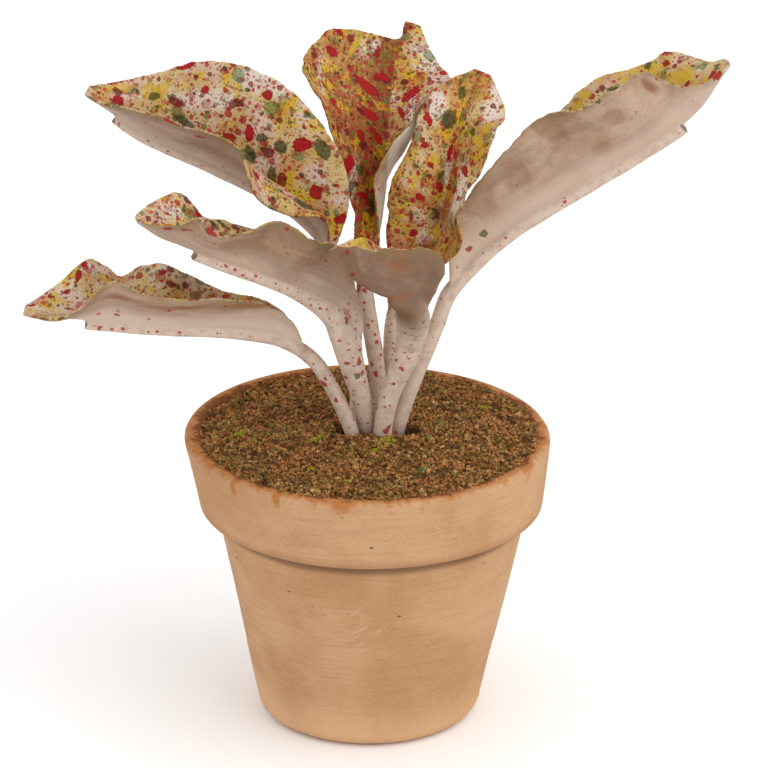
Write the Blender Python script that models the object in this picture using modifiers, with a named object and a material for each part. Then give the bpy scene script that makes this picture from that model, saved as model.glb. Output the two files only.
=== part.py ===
"""Potted coleus: a terracotta pot filled with soil, and seven waved, folded leaves on stout stalks.

Metres, +Z up. The origin is the centre of the pot's foot. The front of the plant faces -Y.
Every leaf is one body: a blade folded along its rib, and the stalk that runs on under it as the midrib.
"""

from math import cos, hypot, pi, radians, sin

import bmesh
import bpy
from mathutils import Vector

MM = 0.001

# Pot, in millimetres
POT_HEIGHT = 24.5
RIM_RADIUS = 15.1
RIM_BOTTOM_RADIUS = 14.1
RIM_HEIGHT = 6.2
NECK_RADIUS = 12.85
FOOT_RADIUS = 9.0
WALL = 1.25
FLOOR = 2.0
DRAIN_RADIUS = 1.8
FOOT_ROUNDING = 1.5
POT_SIDES = 48
ROUNDING_STEPS = 4

# Soil, in millimetres
SOIL_GAP = 0.3
SOIL_EDGE_DROP = 0.35
SOIL_CROWN = 0.55
SOIL_RINGS = 9
HOLE_RADIUS = 3.5
HOLE_DEPTH = 9.0
LUMP_HEIGHT = 0.16
LUMP_WAVES = (0.7, 1.3)

# Leaves, in millimetres
BLADE_THICKNESS = 0.6
FOOT_STALK_RADIUS = 0.62
RIB_RADIUS = 0.55
RIB_LIFT = 0.4
CREASE_WIDTH = 1.0
CROWDING = 0.3
RIB_STEP = 0.006
LEAST_WIDTH = 0.25
SECTION_SLICES = 12
BLADE_STEPS = 20
HALF_STEPS = 5
STALK_STEPS = 36

# Each leaf: "line" is the middle of its stalk, from the foot in the soil to the tip of the blade, as points
# in millimetres. The blade starts at the point numbered "blade_at", and the stalk runs on under it as far
# as "stalk_ends", a share of the blade. "faces" is the way the blade's upper side looks. For each half,
# "wide" is its width in millimetres, "fold" how far it rises from flat and "curl" how much further it has
# turned at its edge, both in degrees. All three are given as (share of the blade, value).
LEAVES = {
    "leaf_low_left": {
        "line": [
            (-1.1, -2.0, 16.0), (-1.2, -2.0, 24.4), (-2.1, -2.2, 27.4), (-3.9, -2.6, 31.2),
            (-5.3, -2.9, 32.8), (-7.4, -3.4, 34.1), (-11.4, -4.1, 35.0), (-16.9, -4.5, 35.4),
            (-22.8, -4.6, 36.0), (-27.9, -4.3, 36.8),
        ],
        "blade_at": 4,
        "stalk_radius": 0.62,
        "stalk_ends": 0.78,
        "faces": (0.1, 0.05, 1.0),
        "left": {
            "wide": [
                (0, 0.5), (0.08, 1.9), (0.2, 3.3), (0.4, 4.6), (0.75, 5.2), (0.88, 4.6),
                (0.95, 3.0), (1, 1.1),
            ],
            "fold": [
                (0, 20), (0.1, 70), (0.3, 58), (0.45, 48), (0.6, 52), (0.71, 60), (0.8, 29),
                (0.87, 14), (1, 14),
            ],
            "curl": [(0, 0), (1, 0)],
        },
        "right": {
            "wide": [
                (0, 0.5), (0.08, 1.8), (0.2, 3.1), (0.4, 4.4), (0.53, 5.1), (0.8, 5.4), (0.9, 3.4),
                (1, 1.0),
            ],
            "fold": [
                (0, 20), (0.1, 60), (0.3, 34), (0.4, 46), (0.52, 67), (0.6, 46), (0.67, 25),
                (0.74, 38), (0.83, 47), (1, 20),
            ],
            "curl": [(0, 0), (1, 0)],
        },
    },
    "leaf_right": {
        "line": [
            (2.1, -0.6, 16.0), (2.3, -0.4, 24.2), (3.1, 0.2, 27.2), (5.7, 1.9, 33.5), (6.8, 2.6, 36.0),
            (11.1, 3.9, 40.0), (16.5, 4.7, 43.3), (22.4, 5.0, 47.0), (26.7, 4.7, 50.4),
            (27.9, 4.2, 54.9),
        ],
        "blade_at": 4,
        "stalk_radius": 0.68,
        "stalk_ends": 0.79,
        "faces": (-0.43, 0.57, 0.7),
        "left": {
            "wide": [
                (0, 0.5), (0.1, 2.6), (0.25, 4.6), (0.45, 6.6), (0.6, 7.3), (0.75, 6.9),
                (0.84, 7.0), (0.885, 7.9), (0.93, 6.3), (0.96, 4.8), (1, 2.0),
            ],
            "fold": [(0, 20), (0.1, 70), (0.5, 82), (0.6, 84), (0.7, 74), (0.8, 72), (0.9, 70), (1, 30)],
            "curl": [(0, 0), (1, 0)],
        },
        "right": {
            "wide": [
                (0, 0.5), (0.1, 3.2), (0.25, 5.4), (0.45, 7.2), (0.7, 7.0), (0.8, 6.4),
                (0.87, 5.2), (0.94, 4.2), (1, 2.0),
            ],
            "fold": [
                (0, 20), (0.1, 55), (0.2, 52), (0.45, 53), (0.6, 34), (0.7, 31), (0.8, 45),
                (0.9, 45), (1, 20),
            ],
            "curl": [(0, 0), (1, 0)],
        },
    },
    "leaf_upper_left": {
        "line": [
            (-1.0, 0.8, 16.0), (-1.0, 0.7, 24.0), (-1.0, 0.8, 30.0), (-2.0, 1.0, 36.0),
            (-2.9, 1.2, 39.8), (-6.4, 2.0, 43.4), (-12.6, 3.0, 46.5), (-18.8, 3.5, 49.4),
            (-22.9, 3.6, 52.9),
        ],
        "blade_at": 4,
        "stalk_radius": 0.6,
        "stalk_ends": 0.87,
        "faces": (0.5, -0.2, 0.85),
        "left": {
            "wide": [
                (0, 0.5), (0.1, 3.8), (0.2, 5.2), (0.4, 6.4), (0.7, 5.8), (0.88, 4.0), (0.95, 2.6),
                (1, 1.0),
            ],
            "fold": [
                (0, 20), (0.1, 66), (0.2, 72), (0.35, 76), (0.45, 58), (0.6, 51), (0.8, 50),
                (0.9, 44), (1, 20),
            ],
            "curl": [(0, 0), (0.1, -30), (0.2, -80), (0.33, -80), (0.45, -10), (0.7, 0), (1, 0)],
        },
        "right": {
            "wide": [
                (0, 0.5), (0.1, 3.7), (0.2, 6.0), (0.35, 8.1), (0.5, 8.5), (0.7, 7.1), (0.85, 4.7),
                (0.94, 2.3), (1, 0.8),
            ],
            "fold": [(0, 20), (0.1, 66), (0.5, 70), (0.9, 50), (1, 20)],
            "curl": [(0, 0), (1, 0)],
        },
    },
    "leaf_top": {
        "line": [
            (0.8, 0.8, 16.0), (0.9, 0.8, 23.5), (0.7, 1.4, 29.5), (-0.3, 2.2, 36.4), (0.0, 2.8, 39.5),
            (0.6, 4.8, 41.8), (1.4, 9.3, 46.6), (2.1, 13.9, 51.1), (3.5, 17.3, 54.1),
        ],
        "blade_at": 3,
        "stalk_radius": 0.7,
        "stalk_ends": 0.88,
        "faces": (0.1, -0.68, 0.73),
        "left": {
            "wide": [
                (0, 0.5), (0.15, 1.6), (0.3, 3.4), (0.45, 6.2), (0.57, 7.9), (0.68, 8.5),
                (0.75, 8.1), (0.79, 7.4), (0.83, 6.9), (0.87, 4.6), (0.895, 2.2), (0.91, 0.6),
                (1, 0.8),
            ],
            "fold": [
                (0, 20), (0.1, 28), (0.2, 34), (0.4, 36), (0.55, 32), (0.7, 14), (0.8, 2),
                (0.88, 0), (1, 10),
            ],
            "curl": [(0, 0), (0.6, 20), (0.8, 30), (1, 0)],
        },
        "right": {
            "wide": [
                (0, 0.5), (0.15, 1.4), (0.3, 3.0), (0.4, 4.1), (0.5, 5.8), (0.6, 6.6), (0.7, 5.6),
                (0.82, 4.5), (0.92, 2.4), (1, 0.8),
            ],
            "fold": [
                (0, 20), (0.1, 32), (0.2, 74), (0.3, 82), (0.4, 58), (0.5, 32), (0.6, 16),
                (0.75, 12), (0.9, 0), (1, 0),
            ],
            "curl": [
                (0, 0), (0.15, 10), (0.3, 50), (0.4, 85), (0.5, 110), (0.6, 115), (0.7, 35),
                (0.8, 5), (1, 0),
            ],
        },
    },
    "leaf_top_right": {
        "line": [
            (1.8, 1.9, 16.0), (1.8, 1.9, 23.5), (1.8, 2.4, 29.5), (2.1, 2.7, 34.0), (4.0, 2.9, 38.1),
            (5.8, 3.2, 41.7), (6.7, 3.9, 45.8), (7.6, 5.0, 50.0), (9.3, 6.5, 53.6),
        ],
        "blade_at": 3,
        "stalk_radius": 0.62,
        "stalk_ends": 0.84,
        "faces": (-0.15, -0.8, 0.5),
        "left": {
            "wide": [
                (0, 0.5), (0.15, 1.6), (0.3, 3.6), (0.5, 4.5), (0.6, 3.7), (0.7, 3.2), (0.85, 2.8),
                (0.93, 1.9), (1, 0.7),
            ],
            "fold": [(0, 20), (0.1, 60), (0.2, 50), (0.4, 45), (0.6, 40), (0.8, 25), (0.9, 5), (1, 0)],
            "curl": [(0, 0), (0.2, -20), (0.4, -40), (0.7, -30), (1, 0)],
        },
        "right": {
            "wide": [
                (0, 0.5), (0.15, 1.6), (0.3, 3.2), (0.42, 4.7), (0.5, 3.7), (0.56, 3.1),
                (0.65, 4.1), (0.77, 4.5), (0.9, 3.2), (1, 0.8),
            ],
            "fold": [
                (0, 20), (0.1, 50), (0.2, 35), (0.35, 30), (0.47, 50), (0.6, 35), (0.8, 30),
                (0.9, 10), (1, 0),
            ],
            "curl": [(0, 0), (1, 0)],
        },
    },
    "leaf_mid_left": {
        "line": [
            (0.0, -0.7, 16.0), (0.0, -0.8, 24.0), (-0.5, -1.9, 28.0), (-1.2, -2.6, 31.0),
            (-2.0, -3.3, 34.2), (-2.9, -3.8, 36.4), (-6.3, -5.2, 39.2), (-11.6, -7.2, 42.0),
            (-15.8, -8.6, 44.1), (-18.0, -9.3, 46.7),
        ],
        "blade_at": 3,
        "stalk_radius": 0.8,
        "stalk_ends": 0.7,
        "faces": (0.3, 0.35, 0.9),
        "left": {
            "wide": [
                (0, 0.5), (0.07, 1.1), (0.14, 1.5), (0.23, 2.4), (0.33, 4.5), (0.53, 5.5),
                (0.74, 4.6), (0.9, 3.6), (1, 1.0),
            ],
            "fold": [
                (0, 15), (0.07, 25), (0.16, 40), (0.23, 70), (0.31, 70), (0.38, 65), (0.46, 48),
                (0.59, 58), (0.69, 38), (0.77, 23), (0.87, 37), (1, 10),
            ],
            "curl": [(0, 0), (1, 0)],
        },
        "right": {
            "wide": [
                (0, 0.5), (0.07, 1.0), (0.14, 1.3), (0.23, 2.0), (0.33, 4.0), (0.57, 5.4),
                (0.83, 4.6), (0.9, 4.0), (0.94, 2.2), (0.955, 0.9), (1, 0.7),
            ],
            "fold": [
                (0, 15), (0.07, 25), (0.16, 40), (0.23, 60), (0.31, 56), (0.44, 40), (0.61, 40),
                (0.74, 44), (0.83, 56), (0.91, 70), (1, 30),
            ],
            "curl": [(0, 0), (1, 0)],
        },
    },
    "leaf_front": {
        "line": [
            (1.2, -2.2, 16.0), (1.1, -2.2, 24.5), (1.6, -2.3, 28.2), (2.6, -2.3, 30.9),
            (2.9, -2.4, 31.7), (3.6, -2.6, 33.6), (4.0, -4.4, 36.9), (2.8, -8.0, 39.5),
            (1.1, -11.5, 41.5), (-0.4, -14.4, 43.5), (-1.1, -16.5, 45.8),
        ],
        "blade_at": 4,
        "stalk_radius": 0.85,
        "stalk_ends": 0.85,
        "faces": (0.0, 0.56, 0.83),
        "left": {
            "wide": [
                (0, 0.5), (0.06, 1.1), (0.11, 1.4), (0.19, 2.1), (0.3, 3.1), (0.46, 3.8),
                (0.64, 3.3), (0.87, 2.2), (0.94, 1.6), (1, 0.8),
            ],
            "fold": [(0, 20), (0.1, 40), (0.24, 40), (0.37, 50), (0.55, 60), (0.82, 60), (1, 20)],
            "curl": [(0, 0), (1, 0)],
        },
        "right": {
            "wide": [
                (0, 0.5), (0.06, 1.1), (0.11, 1.4), (0.19, 2.1), (0.37, 3.8), (0.55, 4.5),
                (0.73, 4.0), (0.91, 2.0), (1, 0.8),
            ],
            "fold": [(0, 20), (0.1, 50), (0.19, 50), (0.28, 66), (0.55, 76), (0.82, 70), (1, 20)],
            "curl": [(0, 0), (1, 0)],
        },
    },
}

TERRACOTTA = ("terracotta", (0.63, 0.33, 0.16), 0.9)
SOIL = ("soil", (0.13, 0.07, 0.03), 1.0)
LEAF = ("painted_leaf", (0.72, 0.47, 0.32), 0.55)


def clear_scene():
    for obj in list(bpy.data.objects):
        bpy.data.objects.remove(obj)


def collection(name):
    made = bpy.data.collections.new(name)
    bpy.context.scene.collection.children.link(made)
    return made


def material(name, colour, roughness):
    made = bpy.data.materials.get(name) or bpy.data.materials.new(name)
    made.use_nodes = True
    shader = made.node_tree.nodes["Principled BSDF"]
    shader.inputs["Base Color"].default_value = (*colour, 1.0)
    shader.inputs["Roughness"].default_value = roughness
    made.diffuse_color = (*colour, 1.0)
    return made


def link(name, mesh, into, finish=None):
    obj = bpy.data.objects.new(name, mesh)
    into.objects.link(obj)
    if finish:
        mesh.materials.append(material(*finish))
    return obj


# Curves through points

def through(points, i, s):
    """The smooth curve through the points, at a share s of the way from point i to the next."""
    a, b = points[i], points[i + 1]
    before = points[i - 1] if i else a * 2 - b
    after = points[i + 2] if i + 2 < len(points) else b * 2 - a
    span = (b - a).length
    slope_a = (b - before) / ((a - before).length + span) * span
    slope_b = (after - a) / ((after - b).length + span) * span
    return (
        a * (2 * s**3 - 3 * s**2 + 1)
        + slope_a * (s**3 - 2 * s**2 + s)
        + b * (3 * s**2 - 2 * s**3)
        + slope_b * (s**3 - s**2)
    )


def shares(points):
    """How far along each point lies, from 0 to 1, by the straight distances from point to point."""
    distances = [0.0]
    for a, b in zip(points, points[1:]):
        distances.append(distances[-1] + (b - a).length)
    return [distance / distances[-1] for distance in distances]


def along_points(points, t):
    """The point at a share t of the curve through the points."""
    marks = shares(points)
    at = min(max(t, 0.0), 1.0)
    i = max(k for k in range(len(points) - 1) if marks[k] <= at)
    return through(points, i, (at - marks[i]) / (marks[i + 1] - marks[i]))


def keyed(keys, t):
    """The value at t on a smooth line through (share, value) keys."""
    i = max(k for k in range(len(keys) - 1) if keys[k][0] <= t)
    (start, a), (end, b) = keys[i], keys[i + 1]
    before = keys[i - 1] if i else keys[i]
    after = keys[i + 2] if i + 2 < len(keys) else keys[i + 1]
    s = (t - start) / (end - start)
    slope_a = (b - before[1]) / (end - before[0]) * (end - start)
    slope_b = (after[1] - a) / (after[0] - start) * (end - start)
    return (
        a * (2 * s**3 - 3 * s**2 + 1)
        + slope_a * (s**3 - 2 * s**2 + s)
        + b * (3 * s**2 - 2 * s**3)
        + slope_b * (s**3 - s**2)
    )


# Leaf surface

def rib_frame(leaf, u):
    """The stalk's middle at u along the blade, the way it runs, the side to its right, and its upper side."""
    points = [Vector(p) for p in leaf["line"]]
    start = shares(points)[leaf["blade_at"]]
    t = start + (1 - start) * u
    along = (along_points(points, t + RIB_STEP) - along_points(points, t - RIB_STEP)).normalized()
    side = along.cross(Vector(leaf["faces"])).normalized()
    return along_points(points, t), along, side, side.cross(along)


def blade_point(leaf, u, v):
    """The blade's point at u along the rib and v across it, from -1 at the left edge to 1 at the right."""
    middle, _, side, up = rib_frame(leaf, u)
    half = leaf["right" if v > 0 else "left"]
    if v < 0:
        side = -side
    wide = max(keyed(half["wide"], u), LEAST_WIDTH)
    fold = radians(keyed(half["fold"], u))
    curl = radians(keyed(half["curl"], u))
    across = 0.0
    rise = RIB_LIFT * min(1.0, 8 * u, 6 * (1 - u))
    slice_width = wide * abs(v) / SECTION_SLICES
    for k in range(SECTION_SLICES):
        out = slice_width * (k + 0.5)
        turned = fold * min(1.0, 0.4 + 0.6 * out / CREASE_WIDTH) + curl * out / wide
        across += cos(turned) * slice_width
        rise += sin(turned) * slice_width
    return middle + side * across + up * rise


def blade_mesh(name, leaf, steps, half_steps):
    """The blade as a sheet cut into triangles, which its two faces then share."""
    bm = bmesh.new()
    bmesh.ops.create_grid(bm, x_segments=steps, y_segments=2 * half_steps, size=0.5)
    for vert in bm.verts:
        across = vert.co.y * 2
        vert.co = blade_point(leaf, vert.co.x + 0.5, across * abs(across) ** CROWDING) * MM
    bmesh.ops.triangulate(bm, faces=bm.faces[:])
    bmesh.ops.recalc_face_normals(bm, faces=bm.faces[:])
    mesh = bpy.data.meshes.new(name)
    bm.to_mesh(mesh)
    bm.free()
    return mesh


def stalk_path(leaf):
    """Points along the stalk, with its radius at each, in millimetres."""
    points = [Vector(p) for p in leaf["line"]]
    start = shares(points)[leaf["blade_at"]]
    end = start + (1 - start) * leaf["stalk_ends"]
    thick = leaf["stalk_radius"]
    path = []
    for k in range(STALK_STEPS + 1):
        t = end * k / STALK_STEPS
        if t < start:
            radius = FOOT_STALK_RADIUS + (thick - FOOT_STALK_RADIUS) * min(1.0, 1.3 * t / start)
        else:
            radius = thick + (RIB_RADIUS - thick) * min(1.0, 2 * (t - start) / (end - start))
        path.append((along_points(points, t), radius))
    return path


def tube(name, path, into):
    """A round, capped tube of changing radius, as a mesh."""
    curve = bpy.data.curves.new(name, "CURVE")
    curve.dimensions = "3D"
    curve.bevel_depth = MM
    curve.bevel_resolution = 2
    curve.use_fill_caps = True
    line = curve.splines.new("POLY")
    line.points.add(len(path) - 1)
    for spot, (point, radius) in zip(line.points, path):
        spot.co = (*(point * MM), 1.0)
        spot.radius = radius
    drawn = bpy.data.objects.new(name, curve)
    into.objects.link(drawn)
    bpy.context.view_layer.update()
    graph = bpy.context.evaluated_depsgraph_get()
    mesh = bpy.data.meshes.new_from_object(drawn.evaluated_get(graph))
    bpy.data.objects.remove(drawn)
    bm = bmesh.new()
    bm.from_mesh(mesh)
    bmesh.ops.remove_doubles(bm, verts=bm.verts[:], dist=1e-6)
    bm.to_mesh(mesh)
    bm.free()
    return link(name, mesh, into)


def leaf_object(name, leaf, into, helpers):
    """A blade and its stalk, joined in one body."""
    blade = link(name, blade_mesh(name, leaf, BLADE_STEPS, HALF_STEPS), into, LEAF)
    sheet = blade.modifiers.new("sheet", "SOLIDIFY")
    sheet.thickness = BLADE_THICKNESS * MM
    sheet.offset = 0.0
    sheet.use_even_offset = True
    stalk = tube(name + "_stalk", stalk_path(leaf), helpers)
    stalk.hide_render = True
    stalk.display_type = "WIRE"
    join = blade.modifiers.new("stalk", "BOOLEAN")
    join.operation = "UNION"
    join.object = stalk
    for face in blade.data.polygons:
        face.use_smooth = True
    return blade


# Pot and soil

def rounded(outline, bends):
    """A closed outline of (radius, height), each corner cut to an arc of the radius in bends."""
    made = []
    for i, (corner, bend) in enumerate(zip(outline, bends)):
        here = Vector(corner)
        if not bend:
            made.append(here)
            continue
        back = (Vector(outline[i - 1]) - here).normalized()
        on = (Vector(outline[(i + 1) % len(outline)]) - here).normalized()
        half = back.angle(on) / 2
        centre = here + (back + on).normalized() * bend / sin(half)
        reach = bend * cos(half) / sin(half)
        start = (here + back * reach - centre).normalized()
        end = (here + on * reach - centre).normalized()
        for k in range(ROUNDING_STEPS + 1):
            made.append(centre + start.slerp(end, k / ROUNDING_STEPS) * bend)
    return made


def turned(name, outline, sides, into, finish):
    """A closed outline spun round the Z axis."""
    mesh = bpy.data.meshes.new(name)
    points = [(p.x * MM, 0.0, p.y * MM) for p in outline]
    edges = [(i, (i + 1) % len(points)) for i in range(len(points))]
    mesh.from_pydata(points, edges, [])
    obj = link(name, mesh, into, finish)
    spin = obj.modifiers.new("spin", "SCREW")
    spin.steps = sides
    spin.render_steps = sides
    spin.use_merge_vertices = True
    spin.merge_threshold = 1e-6
    spin.use_normal_calculate = True
    spin.use_smooth_shade = True
    return obj


def inner_radius(height):
    """The inside radius of the pot at a height above its floor."""
    low, high = FOOT_RADIUS - WALL, RIM_RADIUS - WALL
    return low + (high - low) * (height - FLOOR) / (POT_HEIGHT - FLOOR)


def pot(into):
    band_bottom = POT_HEIGHT - RIM_HEIGHT
    outline = [
        (inner_radius(POT_HEIGHT), POT_HEIGHT),
        (RIM_RADIUS, POT_HEIGHT),
        (RIM_BOTTOM_RADIUS, band_bottom),
        (NECK_RADIUS, band_bottom),
        (FOOT_RADIUS, 0.0),
        (DRAIN_RADIUS, 0.0),
        (DRAIN_RADIUS, FLOOR),
        (inner_radius(FLOOR), FLOOR),
    ]
    bends = [0.35, 0.45, 0.5, 0.3, FOOT_ROUNDING, 0, 0, 0]
    return turned("pot", rounded(outline, bends), POT_SIDES, into, TERRACOTTA)


def soil_outline():
    """Half of the soil's section: the stalks' hole, over the crown, down the pot and back."""
    top = POT_HEIGHT - SOIL_EDGE_DROP
    bottom = FLOOR + SOIL_GAP
    hole_floor = top + SOIL_CROWN - HOLE_DEPTH
    edge = inner_radius(top) - SOIL_GAP
    points = [(0.0, hole_floor), (HOLE_RADIUS, hole_floor)]
    for k in range(SOIL_RINGS + 1):
        share = k / SOIL_RINGS
        points.append((HOLE_RADIUS + (edge - HOLE_RADIUS) * share, top + SOIL_CROWN * (1 - share**2)))
    points.append((inner_radius(bottom) - SOIL_GAP, bottom))
    points.append((0.0, bottom))
    return points


def soil(into):
    """Soil that fills the pot, slightly crowned and lumpy, with one plain hole for all the stalks."""
    outline = soil_outline()
    bm = bmesh.new()
    line = [bm.verts.new((radius * MM, 0.0, height * MM)) for radius, height in outline]
    edges = [bm.edges.new(pair) for pair in zip(line, line[1:])]
    bmesh.ops.spin(
        bm, geom=line + edges, cent=(0, 0, 0), axis=(0, 0, 1), angle=2 * pi, steps=POT_SIDES, use_merge=True
    )
    bmesh.ops.remove_doubles(bm, verts=bm.verts[:], dist=1e-6)
    bmesh.ops.triangulate(bm, faces=bm.faces[:])
    bmesh.ops.recalc_face_normals(bm, faces=bm.faces[:])
    edge, top = outline[-3]
    for vert in bm.verts:
        point = vert.co / MM
        radius = hypot(point.x, point.y)
        if point.z > top and HOLE_RADIUS + SOIL_GAP < radius < edge - SOIL_GAP:
            slow, fast = LUMP_WAVES
            lump = sin(slow * point.x + fast * radius) * cos(fast * point.y + slow * radius)
            vert.co.z += LUMP_HEIGHT * lump * MM
    mesh = bpy.data.meshes.new("soil")
    bm.to_mesh(mesh)
    bm.free()
    return link("soil", mesh, into, SOIL)


def main():
    clear_scene()
    plant = collection("potted_coleus")
    helpers = collection("cutters")
    pot(plant)
    soil(plant)
    for name, leaf in LEAVES.items():
        leaf_object(name, leaf, plant, helpers)


main()
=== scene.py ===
"""Looks of the potted coleus: spattered, folded leaves on stout stalks, turf soil and a terracotta pot.

Metres, +Z up. The front of the plant faces -Y. Lengths below are in millimetres, and MM turns them to metres.
"""

from math import atan2, ceil, copysign, cos, exp, hypot, pi, radians, sin
from random import Random

import bmesh
import bpy
import numpy as np
from mathutils import Matrix, Vector, noise
from mathutils.bvhtree import BVHTree
from mathutils.interpolate import poly_3d_calc
from mathutils.kdtree import KDTree


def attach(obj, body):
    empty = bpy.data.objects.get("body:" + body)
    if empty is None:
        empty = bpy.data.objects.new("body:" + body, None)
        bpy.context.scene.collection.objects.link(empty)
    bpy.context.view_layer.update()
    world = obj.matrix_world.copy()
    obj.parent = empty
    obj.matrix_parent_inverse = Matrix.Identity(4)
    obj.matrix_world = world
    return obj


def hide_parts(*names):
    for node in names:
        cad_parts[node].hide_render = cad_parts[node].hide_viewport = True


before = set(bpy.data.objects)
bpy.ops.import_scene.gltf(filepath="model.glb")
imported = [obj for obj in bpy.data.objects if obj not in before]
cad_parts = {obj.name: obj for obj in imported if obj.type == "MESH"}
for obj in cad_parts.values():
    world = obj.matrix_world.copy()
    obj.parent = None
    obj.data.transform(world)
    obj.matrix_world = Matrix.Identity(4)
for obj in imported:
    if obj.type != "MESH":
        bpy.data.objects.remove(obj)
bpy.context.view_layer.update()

MM = 0.001

# Camera and the picture's frame
PICTURE_SIDE = 768
PICTURE_SCALE = 0.082
VIEW_CENTRE = Vector((1.271, 0.0, 28.763))
VIEW_DISTANCE = 500.0
VIEW_ELEVATION = 22.3
SENSOR_WIDTH = 36.0

# Pot
POT_HEIGHT = 24.5
RIM_RADIUS = 15.1
RIM_BOTTOM_RADIUS = 14.1
RIM_HEIGHT = 6.2
NECK_RADIUS = 12.85
FOOT_RADIUS = 9.0
WALL = 1.25
FLOOR = 2.0
DRAIN_RADIUS = 1.8
POT_BENDS = [0.42, 0.45, 0.5, 0.3, 1.5, 0.25, 0.0, 0.6]
ROUNDING_STEPS = 8
POT_STEPS = 256
POT_ROW = 0.3
HIDDEN_ROW = 1.5
TURNING_DEPTH = 0.02
TURNING_SPACING = 0.3
OUT_OF_ROUND = 0.06
POT_LEAN = [(0, 0.0), (0.2, 0.05), (0.4, 0.2), (0.7, 0.24), (0.9, 0.05), (1, -0.12)]
RIM_TILT = 0.009

# Soil
SOIL_GAP = 0.05
SOIL_EDGE_DROP = 0.3
SOIL_CROWN = 0.75
SOIL_ROW = 0.2
SOIL_STEPS = 180
LUMP_HEIGHT = 0.22
CLOD_HEIGHT = 0.16
STALKS_AT = (0.7, -0.6)
MOUND_HEIGHT = 0.35
MOUND_RADIUS = 3.4
HOLLOWS = [(-2.0, -1.5, 0.8, 1.4), (2.8, -1.2, 0.9, 1.4), (0.6, 2.4, 1.6, 1.2)]
CRUMB_DOUBLINGS = 13
CRUMB_SEED = 11
FLECK_DOUBLINGS = 8
FLECK_SEED = 5
CRUMB_RADII = {"turf_crumbs": 0.17, "turf_dust": 0.12}
FINE_CRUMB = 0.15
RIM_SPILL = 0.9
FLECKS = [
    (-10.6, -0.9, 0.9), (-4.2, -2.9, 0.9), (0.5, -5.4, 0.6), (1.5, -3.9, 0.9), (9.5, 4.5, 0.7),
    (-11.2, 6.6, 0.5), (-4.6, -8.4, 0.6), (-9.4, -2.6, 0.4), (6.2, 1.1, 0.4), (-1.8, -10.6, 0.4),
]
TEAL_FLECK = (4.3, -8.4, 0.7)
PALE_GRAIN = (-5.4, -11.3, 0.5)

# Leaves
BLADE_THICKNESS = 0.36
EDGE_THICKNESS_SHARE = 0.56
EDGE_TAPER = 0.9
FOOT_STALK_RADIUS = 0.62
RIB_RADIUS = 0.55
RIB_LIFT = 0.4
CROWDING = 0.3
RIB_STEP = 0.006
LEAST_WIDTH = 0.25
BLADE_ROW = 0.24
HALF_STEPS = 34
STALK_STEPS = 150
STALK_ROUND = 7
WRINKLE_LENGTH = 2.6
PLEAT_LENGTH = 1.25
FRILL_DEPTH = 0.16
FRILL_LENGTH = 0.9
CUT_RAGGEDNESS = 0.22
VOXEL = 0.135
STALK_GIRTH = 0.65
FRONT = Vector((0.0, -1.0, 0.0))
PAINT_SHIFT = 9.0
NO_CURL = [(0, 0), (1, 0)]
SPLASH_REACH = 0.8
LEAF_SEED_STEP = 4.3

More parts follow.
